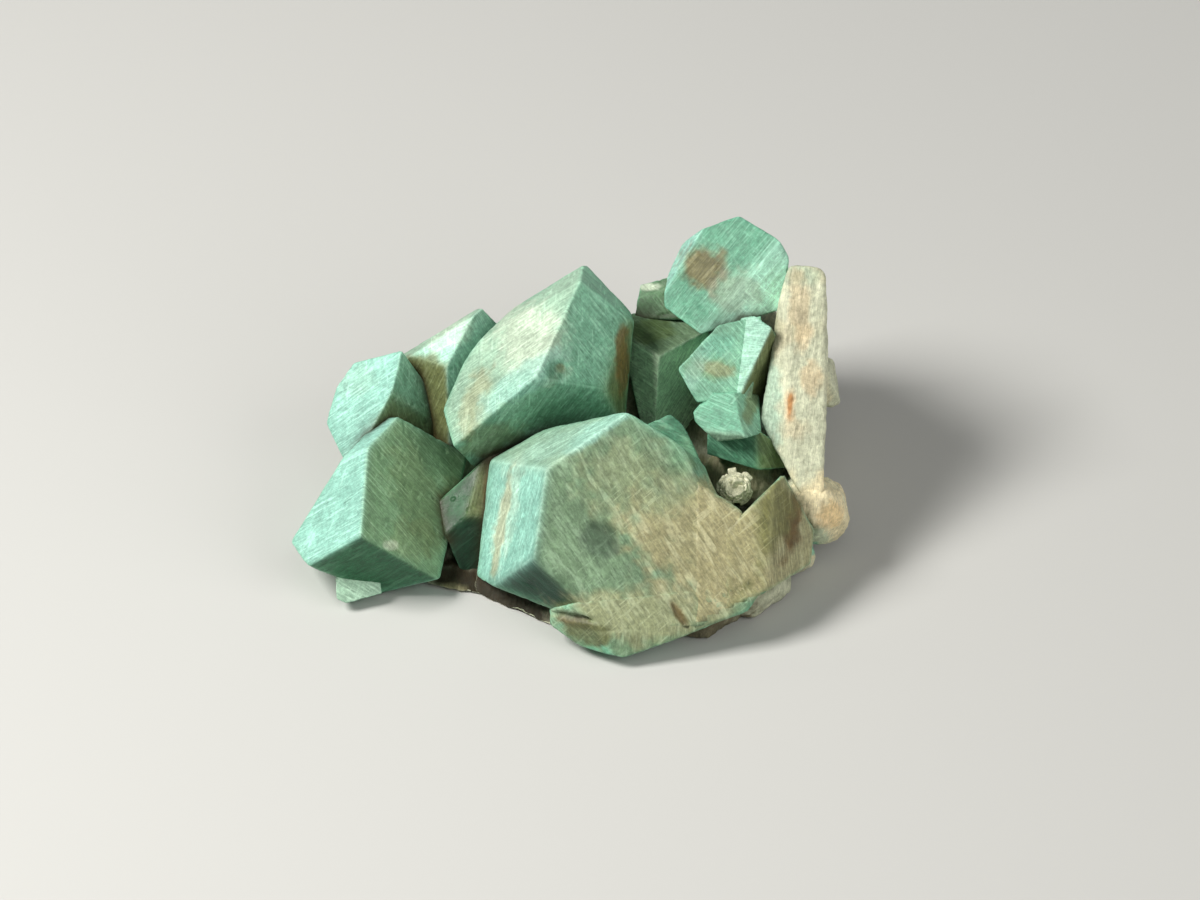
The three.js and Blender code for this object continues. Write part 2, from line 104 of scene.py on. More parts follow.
def left_front_crystal():
    near = (-41.6, -19.2, 18)
    ridge_top = (-40.4, -1.6, 6)
    left_low = (-51.6, -24.8, 9.8)
    right_low = (-29.6, -26, 8.1)
    apex = (-34.6, 4.8, -4.6)
    left_top = (-45.4, -3.4, 1.1)
    left_far = (-56.4, -21.2, 1.2)
    return solid([
        (near, ridge_top, left_low), (near, ridge_top, right_low), (near, left_low, right_low),
        (ridge_top, apex, left_top),
    ], [
        (apex, (-27.2, 0, -14), (-30, -2, -26)), (left_top, left_far, (-48, -14, -20)),
        ((-56, -22.4, 2), (-52, -25.3, 8.6), (-50, -22, -20)),
        ((-52, -25.3, 8.6), (-46.8, -28.8, 4.5), (-46, -24, -20)),
        ((-46.8, -28.6, 4.5), (-39, -31, 0.8), (-40, -27, -20)),
        ((-39, -31, 0.8), (-28.6, -28.2, 3), (-34, -26, -20)),
        ((-20.5, -6, -10), (-26.5, -28, 2), (-27, -16, -24)),
    ], -22)


def left_back_crystal():
    near = (-35.8, 9.6, -6)
    apex = (-33.8, 18, -8.5)
    left_side = (-47.4, 8, -14.8)
    right_side = (-27.2, 9, -15.4)
    return solid([
        (near, apex, left_side), (near, apex, right_side), (near, (-39.8, 2, -5.6), (-31, 7, -10.9)),
    ], [
        (apex, (-43.6, 15.6, -15.4), (-38, 14, -28)),
        ((-43.6, 15.6, -15.4), (-46.8, 11, -16.5), (-41, 10, -28)),
        ((-46.8, 11, -16.5), (-49.2, 3.4, -14), (-43, 6, -28)),
        ((-49.2, 3.4, -14), (-45, -4.4, -8), (-42, -2, -24)), (apex, right_side, (-32, 9, -28)),
        (right_side, (-24.6, -1, -17), (-28, 4, -28)),
        ((-45, -10, -10), (-25, -10, -10), (-35, -6, -24)),
    ], -29)


def small_back_crystal():
    ridge_top = (-18.8, 26.4, -8)
    ridge_low = (-24.8, 14.8, -8)
    left_end = (-33.6, 18, -14)
    return solid([
        (ridge_top, ridge_low, left_end), (ridge_top, ridge_low, (-15.2, 23.6, -11.5)),
        ((-21.6, 23.6, -8.9), (-29, 19, -11.9), (-26, 22.5, -15)),
        (ridge_low, (-33, 17.2, -13.6), (-27.6, 8, -13)),
    ], [
        ((-19.6, 26.5, -9), (-33.6, 18.2, -15), (-25, 18, -30)),
        ((-18, 26.6, -9), (-15, 23.8, -11.6), (-19, 20, -30)),
        ((-12, 20, -10), (-12, 0, -10), (-15, 10, -28)),
        ((-34.4, 17, -14), (-33, 5, -14), (-30, 10, -30)),
        ((-30, -4, -10), (-10, -4, -10), (-20, 0, -28)),
    ], -30)


def upper_centre_crystal():
    top = (2, 31.8, 8)
    near = (-7, 12.4, 10.3)
    left_top = (-15.2, 21.6, -2.2)
    left_low = (-21.8, 0.6, 4.1)
    right_top = (11.6, 24.2, -0.5)
    right_low = (8.2, 8.4, -3)
    crest = (3, 35.2, -1)
    return solid([
        (top, near, left_top), (top, near, right_top), (top, left_top, crest),
        (top, right_top, (8.8, 30.4, -8)), (right_top, (7.6, 12, -0.3), (11.8, 14, -7)),
        (near, left_low, right_low),
    ], [
        ((2.2, 35, -1), (-14.2, 25, -11.2), (-6, 27, -26)),
        ((4, 34.8, -3), (12.4, 25.8, -6), (6, 27, -26)),
        ((-14.8, 23.4, -7), (-21, 16.4, -4.7), (-15, 15, -26)),
        ((-21, 16.4, -4.7), (-25.6, 6.2, -3.5), (-18, 8, -26)),
        ((-25.6, 6.2, -3.5), (-20, -4.8, -3.5), (-17, 0, -24)),
        ((12.4, 25.8, -6), (12, 10, -8), (8, 16, -26)), ((-20, -6, -3), (10, -3, -3), (0, 2, -24)),
    ], -28)


def shaded_crystal():
    near = (17.8, 16.8, -7)
    left = (11.2, 21.4, -13)
    right = (26, 21.2, -12.7)
    low = (17.2, 4.2, -15.5)
    return solid([
        (near, left, right), (near, left, low), (near, right, low),
    ], [
        ((12.6, 26, -17), (20, 27, -17.4), (16, 22, -34)),
        ((10, 23, -15), (12.4, 10, -16), (14, 15, -34)), ((28, 20, -15), (29, 6, -17), (26, 12, -34)),
        ((11, 11, -16), (11, -8, -19), (15, 2, -34)), ((12, -9, -17), (31, -9, -20), (22, -5, -34)),
    ], -30)


def back_fragment():
    return solid([
        ((14.2, 28.8, -18), (14, 31, -18.4), (19.4, 32, -17)),
        ((13.2, 26.2, -17.4), (14.2, 28.8, -18), (19, 27, -15.6)),
    ], [
        ((13.2, 26, -18), (14.2, 31.2, -19), (15.4, 28, -32)),
        ((14, 31.2, -19), (20, 32.4, -19), (17, 29, -32)),
        ((24, 32, -18), (24, 20, -18), (22, 26, -32)),
        ((12, 24.4, -18), (24, 24.4, -18), (18, 25.4, -32)),
    ], -31)


def top_crystal():
    seam_top = (40.8, 38.6, 1)
    seam_low = (28.6, 24, 3.5)
    return solid([
        (seam_top, seam_low, (20, 30, 1.5)), (seam_top, seam_low, (43.2, 30, -0.6)),
        ((26, 40.6, 1.4), (21.8, 34, 2.0), (19.6, 33, -3)),
    ], [
        ((22.6, 40.9, -1), (33.2, 44.6, -1), (28, 39, -22)),
        ((34.4, 44.5, -1), (41.4, 39.8, -2), (36, 39, -22)),
        ((41.4, 39.8, -2), (43.7, 36.2, -2), (39, 35, -22)),
        ((43.7, 36.2, -2), (42.4, 24, -2), (40, 30, -22)),
        ((22.6, 41, -3), (19, 32, -3), (22, 35, -22)),
        ((19, 32.4, -1), (19.1, 26.8, 0.5), (22, 29, -20)),
        ((19.1, 26.8, 0.5), (26.2, 21.1, 3.2), (26, 27, -20)),
        ((26.2, 21.1, 3.2), (41, 25.6, -0.4), (34, 27, -20)),
    ], -23)


def stepped_crystal_top():
    seam_top = (35.4, 24.2, 4.6)
    seam_low = (33, 8.2, 5.6)
    left_end = (21.4, 14.2, 8.4)
    return solid([
        (seam_top, seam_low, left_end),
    ], [
        ((38, 24.6, 3), (29.6, 23.1, 6.6), (33, 20, -18)), ((29.6, 23.1, 6.6), left_end, (27, 15, -18)),
        (left_end, (25.2, 7.4, 7.8), (28, 11, -18)), ((25.2, 7.4, 7.8), (34, 8, 5.4), (31, 9.5, -12)),
        ((38, 24, 2), (36, 6, 4), (35, 14, -20)),
    ], -20)


def stepped_crystal_rib():
    """The bright rib along the stepped crystal's right side."""
    seam_top = (35, 24.2, 4.4)
    seam_low = (33, 8.2, 5.4)
    return solid([
        (seam_top, seam_low, (39.8, 22, 9.4)), ((40.2, 22.2, 9.6), (35.8, 13.4, 8), (41, 16, 1)),
    ], [
        ((36.8, 24.9, 6), (34, 24.4, 3.6), (36, 21, -14)),
        ((36.8, 24.9, 6), (40.8, 22, 9.4), (38, 19, -14)), ((33, 6.4, 6), (37, 6, 6), (35, 9, -14)),
        ((33.6, 20, 4), (32.2, 8, 5), (34, 14, -14)),
    ], -15)


def stepped_crystal_middle():
    ridge_top = (32.8, 8.6, 8.8)
    ridge_low = (35.2, 0.6, 12.2)
    return solid([
        ((26, 7.2, 6.8), ridge_top, (33, 1.4, 12.2)), (ridge_top, ridge_low, (37, 4, 6.4)),
        ((26.8, 1.8, 9.6), (33, 1.2, 12.2), (31, -0.4, 9.2)),
    ], [
        ((24.6, 5.6, 6.5), (26.2, 7.6, 7), (28, 8, -12)),
        ((24.6, 5.6, 6.5), (25, 3.4, 7.6), (28, 4, -12)), ((25, 3.6, 7.6), (27, 1.6, 9), (29, 3, -12)),
        ((30, -0.4, 9), (35.4, 0.4, 12), (33, 2, -12)), ((38, 10, 5), (38, 0, 5), (37, 5, -12)),
        ((26, 9.4, 6), (36, 9.4, 6), (31, 8, -12)),
    ], -16)


def stepped_crystal_low():
    return solid([
        ((28, 1, 5), (37, 1, 7.6), (37.6, -5.6, 6)), ((37, 1, 7.6), (37.6, -5.6, 6), (44, -5, 3)),
    ], [
        ((27.4, 2, 6), (27.2, -3, 5), (29, 0, -14)), ((27.2, -3, 5), (37.6, -6, 6), (33, -3, -14)),
        ((37.6, -6, 6), (46, -5.4, 2.6), (40, -3, -14)), ((26, 3.4, 4), (35, 3, 4), (30, 2, -14)),
        ((35, 3, 4), (46, -3.4, 4), (38, -2, -14)), ((46, 4, 3), (46, -6, 3), (44, 0, -14)),
    ], -16)


def big_front_crystal():
    ridge_left = (-4.8, -5.8, 21)
    ridge_right = (10.4, 5, 19.8)
    left_top = (-16.2, -4, -1)
    front_low = (-6.6, -24, 21.3)
    return solid([
        (ridge_left, ridge_right, front_low), (ridge_left, left_top, (-6.8, -20, 21.2)),
        (ridge_left, ridge_right, left_top), (front_low, (2, -32.4, 20.6), (-12.8, -27.2, 11.9)),
        ((22, -1, 19.1), (25.4, -8, 18.9), (27.6, -7, 14)),
    ], [
        (left_top, (-5, 2.4, 1.3), (-9, -2, -20)), ((-5, 2.4, 1.3), (11.2, 5.8, 19), (4, 0, -20)),
        ((11.4, 5.6, 19), (22, -1, 19.1), (17, -1, -10)), (left_top, (-17.6, -25, -4), (-13, -15, -22)),
        ((-17.4, -27, -3), (-13, -30, 6), (-12, -25, -20)),
        ((-13, -30, 6), (2, -36, 16), (-2, -31, -16)), ((28, -8, 12), (36, -31, 12), (28, -20, -14)),
        ((2, -36, 16), (26, -36.6, 16), (16, -30, -14)),
        ((26, -36.6, 16), (36, -31.4, 16), (26, -29, -14)),
    ], -22)


def big_front_crystal_right():
    return solid([
        ((20, -5, 19.25), (34.6, -14.4, 18.28), (30, -32, 18.78)),
    ], [
        ((20, -4.4, 18.4), (34.4, -14.2, 17.4), (30, -12, -8)),
        ((34.2, -13.6, 17), (36.4, -35, 17), (34, -24, -12)),
        ((25, -8, 16), (25, -30, 16), (27, -20, -12)), ((26, -36.2, 16), (36, -31, 16), (28, -29, -12)),
    ], -14)


def big_front_crystal_tip():
    edge_high = (40.6, -10, 17.86)
    edge_low = (39.4, -28, 18.11)
    return solid([
        ((34.6, -14.4, 18.33), edge_high, (34, -31, 18.53)), (edge_high, edge_low, (46.6, -18, 11.6)),
    ], [
        ((34.2, -14.8, 17), (42.2, -7, 14.6), (40, -10, -6)),
        ((42.2, -6.8, 14), (48.8, -18, 9), (42, -12, -8)),
        ((48.8, -17, 9), (47.6, -25, 8), (44, -21, -8)),
        ((48.4, -24.4, 8), (37, -30.8, 15), (40, -26, -8)),
        ((31, -10, 14), (31, -30, 14), (32, -20, -8)),
    ], -12)


def big_front_crystal_shoulder():
    """The lower rim that shows behind the big crystal's upper right edge."""
    return solid([
        ((18, 2, 9), (24, 0, 9.6), (30, -12, 12.4)),
    ], [
        ((14, 2.4, 8), (20, 5.2, 8), (19, 2, -12)), ((20, 5.2, 8), (22.8, 2.8, 8.6), (20, 2, -12)),
        ((22.8, 2.8, 8.6), (29, -10, 11), (24, -4, -12)), ((10, -5, 8), (30, -20, 10), (20, -10, -12)),
    ], -14)


def big_front_crystal_lip():
    return solid([
        ((4, -36, 20.68), (34, -32, 18.47), (14, -43, 20.02)),
        ((2, -39.4, 20.7), (32, -36, 18.5), (14, -43, 18.9)),
        ((3, -35.4, 20.5), (8, -43.6, 18.6), (-3.8, -37, 14.8)),
    ], [
        ((-3.6, -35, 14), (-3.8, -37, 14), (0, -36, -4)),
        ((-3.8, -37, 14.6), (2, -41.2, 16.6), (4, -37, -4)),
        ((2, -41.2, 16.6), (11, -43.4, 18.6), (8, -39, -4)),
        ((11, -43.4, 18.6), (17.6, -40.8, 18.2), (12, -37, -4)),
        ((17.6, -40.8, 18.2), (34, -35, 17.2), (22, -33, -4)),
        ((34, -35.2, 16.4), (37.6, -30, 15.6), (32, -31, -4)),
        ((-4, -33.6, 16), (36, -29, 16), (10, -35, -4)),
    ], -8)


def valley_crystal():
    ridge_top = (-18, -5, -3)
    ridge_low = (-20.6, -15, -0.5)
    return solid([
        (ridge_top, ridge_low, (-26, -12.2, -4.2)), (ridge_top, ridge_low, (-15, -12, -2)),
        (ridge_low, (-23.6, -21.2, -2), (-17, -24.6, -3.6)),
    ], [
        ((-16.4, -3.2, -4), (-27, -13, -6), (-22, -10, -22)),
        ((-24, -21.2, -2.4), (-21.2, -27.5, -5), (-21, -16, -22)),
        ((-21.2, -26.5, -5), (-16, -25, -5), (-18, -5, -22)),
        ((-27.4, -10, -5), (-25.6, -24, -5), (-24, -15, -22)),
        ((-12, 0, -3), (-12, -20, -3), (-14, -10, -22)),
    ], -22)


def lower_nub():
    return solid([
        ((-46.4, -28, 5.8), (-45.6, -32.4, 6), (-38.4, -30.4, 4.6)),
    ], [
        ((-46.7, -27, 5), (-46.3, -32, 5), (-43, -30, -8)),
        ((-46.3, -31.8, 5.8), (-44.6, -32.7, 6), (-42, -30, -8)),
        ((-44.6, -32.7, 6), (-37.8, -30.7, 4.4), (-40, -28, -8)),
        ((-37.6, -31, 4), (-38, -27, 4), (-41, -29, -8)),
        ((-46, -26.5, 5), (-38, -26.5, 5), (-42, -28.5, -8)),
    ], -5)


def pale_slab():
    return solid([
        ((42.4, 30, 7.2), (43.4, -4, 8.6), (50.6, 10, 7)),
        ((42.4, 30, 7.2), (43.4, -4, 8.6), (36, 12, 2.6)),
        ((50.8, 30, 6.4), (51.2, -4, 7.2), (52.8, 12, 2.4)),
    ], [
        ((42, 34.9, 4), (50, 34.6, 2), (46, 33, -16)),
        ((49.8, 34.8, 5), (51.2, 32.8, 4), (48, 31, -16)),
        ((50.9, 33, 2), (51.5, 14, 2), (49, 22, -16)), ((51.5, 16, 2), (50.6, -4, 3), (49.4, 6, -16)),
        ((39.8, 22, 3), (36.3, 11, 3), (39.4, 16, -16)), ((36.6, 6, 3), (43.2, -6, 6), (41.4, 0, -16)),
        ((41, 23, 3), (42.8, 34.6, 3), (42.6, 28, -16)), ((40, -12, 4), (52, -12, 4), (46, -10, -16)),
    ], -27)


def underside_left():
    """The rough underside below the left front crystals."""
    return solid([
        ((-30, -29, -1.2), (-14, -32, 1.6), (-22, -25, -4)),
    ], [
        ((-30, -29, -1.2), (-14, -32, 1.6), (-22, -27, -20)),
        ((-29.4, -30, -4), (-29, -22, -4), (-27, -26, -20)),
        ((-8, -34, -2), (-8, -20, -2), (-10, -27, -20)), ((-30, -8, -2), (0, -8, -2), (-14, -10, -20)),
    ], -26)


def underside_right():
    return solid([
        ((-20, -30.4, 0), (-3.8, -37.4, 8), (-8, -29, 4)),
    ], [
        ((-20, -30.4, 0), (-3.8, -37.4, 8), (-10, -29, -16)),
        ((-19, -34, 0), (-19, -24, -2), (-17, -28, -18)), ((2, -38, 4), (2, -26, 4), (0, -32, -16)),
        ((-20, -24, 2), (4, -24, 4), (-8, -26, -18)),
    ], -18)


# Each face of a lump: the way it turns, across, up and out, and its reach as a share of the block's
ROCK_FACES = (
    (1, 0.15, 0.1, 0.95), (-1, -0.1, 0.2, 0.96), (0.1, 1, -0.1, 0.9), (-0.1, -1, 0.15, 0.95),
    (0.05, 0.1, 1, 0.9), (0.1, -0.05, -1, 0.92), (0.9, 0.8, 0.3, 0.9), (-0.8, 0.9, 0.2, 0.93),
    (0.8, -0.9, 0.35, 0.88), (-0.9, -0.75, -0.2, 0.92), (0.7, 0.2, -0.9, 0.9), (-0.6, 0.3, -0.9, 0.93),
    (0.2, 0.8, -0.8, 0.9), (-0.1, -0.7, -0.8, 0.94), (0.7, 0.1, 0.8, 0.88), (-0.7, 0.25, 0.7, 0.92),
    (0.15, 0.75, 0.8, 0.9), (-0.2, -0.8, 0.7, 0.9),
)


def lump(middle, half):
    """A lump of matrix: a block with its corners knocked off, from its middle and half sizes."""
    faces = []
    for across, up, out, reach in ROCK_FACES:
        local = np.array([across, up, out], float)
        local /= np.linalg.norm(local)
        point = np.asarray(middle) + local * np.linalg.norm(local * half) * reach
        normal = local @ SHOWY
        faces.append((normal, normal @ row_frame(point)))
    return faces


def corners_of(faces):
    """Corners of the solid between the faces: every meeting of three that lies inside the rest."""
    normals = np.array([f[0] for f in faces])
    reach = np.array([f[1] for f in faces])
    found = []
    for trio in combinations(range(len(faces)), 3):
        three = normals[list(trio)]
        if abs(np.linalg.det(three)) < SAME_POINT:
            continue
        point = np.linalg.solve(three, reach[list(trio)])
        if (normals @ point < reach + SAME_POINT).all():
            found.append(point)
    return np.array(found)


def cube_lattice(cells):
    """Directions over the sphere: the six sides of a cube in cells by cells squares, with equal
    angles between their lines and welded along the cube's edges, and the squares, facing out."""
    a, b = np.meshgrid(np.arange(cells + 1), np.arange(cells + 1), indexing="ij")
    sides = [np.roll(np.stack([np.full_like(a, end), a, b], -1), axis, -1)
             for axis in range(3) for end in (0, cells)]
    lattice, index = np.unique(np.stack(sides).reshape(-1, 3), axis=0, return_inverse=True)
    index = index.reshape(6, cells + 1, cells + 1)
    squares = np.stack([index[:, :-1, :-1], index[:, 1:, :-1], index[:, 1:, 1:], index[:, :-1, 1:]], -1)
    squares[0::2] = squares[0::2, ..., ::-1]
    directions = np.tan((lattice / cells * 2 - 1) * np.pi / 4)
    directions /= np.linalg.norm(directions, axis=1)[:, None]
    return directions, squares.reshape(-1, 4)


def noise(points, size, seed):
    """A smooth random field from -1 to 1 that changes over the given size in millimetres: random
    values at the corners of cubes of that size, blended inside each cube by smooth steps."""
    table = np.random.default_rng(seed).uniform(-1, 1, (NOISE_CELLS, NOISE_CELLS, NOISE_CELLS))
    place = points / size + NOISE_SHIFT
    cell = np.floor(place).astype(int)
    part = place - cell
    part = part * part * (3 - 2 * part)
    total = np.zeros(len(points))
    for corner in product((0, 1), repeat=3):
        weight = np.prod(np.where(corner, part, 1 - part), axis=1)
        i, j, k = ((cell + corner) % NOISE_CELLS).T
        total += weight * table[i, j, k]
    return total


def relief(points, kind, seed):
    """Smooth random ups and downs of one kind, which is its height and its size in millimetres."""
    height, size = kind
    return height * noise(points, size, seed)


def soft_step(value, low, high):
    """0 up to low, 1 from high on, and an S-shaped bend between them."""
    t = np.clip((value - low) / (high - low), 0, 1)
    return t * t * (3 - 2 * t)


def linear(red, green, blue):
    """A colour read off in 0 to 255 steps, as linear light."""
    return np.array([red, green, blue]) ** 2.2 / 255 ** 2.2


def mark_weight(spot, where, ragged):
    """How strongly an oval mark covers each place: 1 in its middle, fading over a ragged rim.
    A mark is its middle across and up, its half width and half height, and its turn in degrees."""
    across, up, half_width, half_height, turn = spot
    angle = np.radians(turn)
    x, y = where[:, 0] - across, where[:, 1] - up
    along = (x * np.cos(angle) + y * np.sin(angle)) / half_width
    over = (y * np.cos(angle) - x * np.sin(angle)) / half_height
    return 1 - soft_step(np.hypot(along, over) + ragged, 0.55, 1.2)


TEAL = linear(112, 182, 156)
SEA_GREEN = linear(104, 156, 118)
DEEP_GREEN = linear(58, 106, 76)
OLIVE = linear(112, 118, 76)
TAN = linear(156, 150, 112)
BROWN = linear(122, 96, 54)
CREAM = linear(212, 222, 198)
MINT = linear(158, 202, 182)
PINKISH = linear(146, 152, 130)
RUST = linear(164, 104, 40)
PALE_ROCK = linear(196, 200, 172)
WHITE_ALBITE = linear(208, 208, 178)
SLATE = linear(80, 102, 80)
# Painted shade for a crystal's bottom face
UNDERSIDE_SHADE_TEAL = linear(38, 92, 60)
DIM_GREEN = linear(72, 104, 70)
BRIGHT_GREEN = linear(130, 182, 154)
MID_TEAL = linear(100, 158, 130)
# Painted shade for faces turned away from the light
SHADE_TEAL = linear(4, 44, 30)
DARK_OLIVE = linear(84, 102, 56)
PALE_MINT = linear(176, 230, 206)
DULL_TAN = linear(108, 108, 66)
# Painted shade for the underside below the crystals
UNDERSIDE_SHADE_ROCK = linear(46, 40, 26)
# Painted light on faces that lie in the shade of their neighbours
PAINTED_LIGHT_WHITE = linear(206, 232, 198)
DIM_TEAL = linear(70, 118, 92)
ORANGE_ROCK = linear(206, 176, 134)
SAGE = linear(110, 134, 104)
PALE_TEAL = linear(146, 200, 184)
GREY_GREEN = linear(120, 152, 114)
SOFT_GREEN = linear(112, 158, 132)
MOSS = linear(98, 122, 84)
PALE_SAGE = linear(150, 182, 158)
# Painted shade for the crystal in the valley
VALLEY_SHADE_GREEN = linear(26, 68, 40)
WARM_ROCK = linear(228, 214, 172)
TAWNY_ROCK = linear(216, 176, 112)
SANDY_ROCK = linear(194, 176, 134)
BROWN_ROCK = linear(84, 72, 46)
FADED_BROWN = BROWN * 0.85
NOTCH_BROWN = BROWN * 0.7
DARK_BROWN = BROWN * 0.6
SLOT_BROWN = BROWN * 0.5
# The near-black brown of the painted shade in the crevices
CREVICE_SHADE_COLOUR = BROWN * 0.16
DARK_SLATE = SLATE * 0.8
SHADY_OLIVE = OLIVE * 0.6


def gauge_surface(faces, cells, sharpness):
    """The worn solid between flat faces, on a cube lattice of directions from its middle.
    The distance out is (sum of (cosine to a face / that face's distance) ^ sharpness) ^ (-1 / sharpness),
    which follows each face and rounds the edges between them. Also gives the blended face
    normal, how near an edge each point is, each face's share in it, and the lattice's squares."""
    faces = faces + [BASE_FACE]
    middle = corners_of(faces).mean(axis=0)
    normals = np.array([f[0] for f in faces])
    reach = np.array([f[1] for f in faces]) - normals @ middle
    directions, squares = cube_lattice(cells)
    lean = np.maximum(directions @ normals.T, 0) / reach
    most = lean.max(axis=1)
    share = (lean / most[:, None]) ** sharpness
    points = middle + directions / (most * share.sum(axis=1) ** (1 / sharpness))[:, None]
    normal = share @ normals
    normal /= np.linalg.norm(normal, axis=1)[:, None]
    return points, normal, np.clip(share.sum(axis=1) - 1, 0, 1), share, squares


def clearance(points, faces):
    """How far each point is outside the solid between the faces, at least."""
    normals = np.array([f[0] for f in faces])
    reach = np.array([f[1] for f in faces])
    return (points @ normals.T - reach).max(axis=1)


def lamella_normal(first, first_angle, second, second_angle):
    """The layers' direction, from how their lines run on two faces as seen on the showy side."""
    lines = []
    for (normal, _), angle in ((first, first_angle), (second, second_angle)):
        across, up, out = SHOWY @ normal
        dx, dy = np.cos(np.radians(angle)), np.sin(np.radians(angle))
        lines.append(np.array([dx, dy, -(across * dx + up * dy) / out]) @ SHOWY)
    normal = np.cross(*lines)
    return normal / np.linalg.norm(normal)


def new_mesh(name, points, squares, layers):
    """A smooth shaded mesh object from arrays, with its colour and vector layers."""
    mesh = bpy.data.meshes.new(name)
    mesh.vertices.add(len(points))
    mesh.vertices.foreach_set("co", (points * MM).astype(np.float32).ravel())
    mesh.loops.add(squares.size)
    mesh.loops.foreach_set("vertex_index", squares.astype(np.int32).ravel())
    mesh.polygons.add(len(squares))
    mesh.polygons.foreach_set("loop_start", np.arange(0, squares.size, 4, dtype=np.int32))
    mesh.update(calc_edges=True)
    mesh.validate()
    mesh.shade_smooth()
    for layer, (kind, values) in layers.items():
        entry = mesh.attributes.new(layer, kind, "POINT")
        if kind == "FLOAT_COLOR":
            values = np.concatenate([values, np.ones((len(values), 1))], axis=1)
        key = "color" if kind == "FLOAT_COLOR" else "vector"
        entry.data.foreach_set(key, values.astype(np.float32).ravel())
    piece = bpy.data.objects.new(name, mesh)
    bpy.context.scene.collection.objects.link(piece)
    return piece


def joined(parts):
    """Several closed surfaces as one: their points, squares and layers, one array after another."""
    shifted, first = [], 0
    for points, squares, tone, worn, dark, grain in parts:
        # The layer holds the pale worn edges in its first channel and the painted shade in its second
        shifted.append((points, squares + first, tone, np.stack([worn, dark, 0 * dark], -1), grain))
        first += len(points)
    points, squares, tone, wear_and_shade, grain = (np.concatenate(column) for column in zip(*shifted))
    layers = {
        "tone": ("FLOAT_COLOR", tone), "wear_and_shade": ("FLOAT_COLOR", wear_and_shade), "grain": ("FLOAT_VECTOR", grain),
    }
    return points, squares, layers


def finish_piece(name, parts, node, material):
    """Makes one piece of its surfaces, parents it to the root and hides the imported solid it stands for.
    """
    piece = new_mesh(name, *joined(parts))
    piece.data.materials.append(material)
    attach(piece, "root")
    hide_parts(node)


class Nodes:
    """Adds shader nodes to one material, each with its values, and links them."""

    def __init__(self, material):
        material.use_nodes = True
        self.tree = material.node_tree
        self.surface = self.tree.nodes["Principled BSDF"]

    def add(self, kind, values=None, **settings):
        node = self.tree.nodes.new(kind)
        for key, value in settings.items():
            setattr(node, key, value)
        for key, value in (values or {}).items():
            if isinstance(value, bpy.types.NodeSocket):
                self.tree.links.new(value, node.inputs[key])
            else:
                node.inputs[key].default_value = value
        return node

    def layer(self, name):
        return self.add("ShaderNodeAttribute", attribute_name=name, attribute_type="GEOMETRY")

    def maths(self, operation, first, second):
        node = self.add("ShaderNodeMath", {0: first, 1: second}, operation=operation)
        return node.outputs[0]

    def spread(self, value, low, high, to_low, to_high):
        node = self.add("ShaderNodeMapRange", {
            "Value": value, "From Min": low, "From Max": high, "To Min": to_low, "To Max": to_high,
        })
        return node.outputs[0]

    def mix(self, amount, first, second, blend="MIX"):
        node = self.add("ShaderNodeMix", {0: amount, 6: first, 7: second},
                        data_type="RGBA", blend_type=blend)
        return node.outputs[2]

    def texture(self, vector, scale, detail=3.0, roughness=0.6):
        node = self.add("ShaderNodeTexNoise", {
            "Vector": vector, "Scale": scale, "Detail": detail, "Roughness": roughness,
        })
        return node.outputs["Fac"]


PATCH_SCALE, MOTTLE_SCALE, SPECK_SCALE = 90, 420, 1500  # how fine each noise is, to the metre
CROSS_STRETCH = 14.0  # how much longer the second family of lines is than it is wide
RELIEF_DEPTH = 0.0004  # metres
BRIGHTER = (1.9, 1.8, 1.85, 1)  # what a pale line does to a dark tone
DARKER = (0.35, 0.42, 0.38, 1)  # what a dark line does to any tone
SPECK_COLOUR = (0.02, 0.03, 0.02, 1)


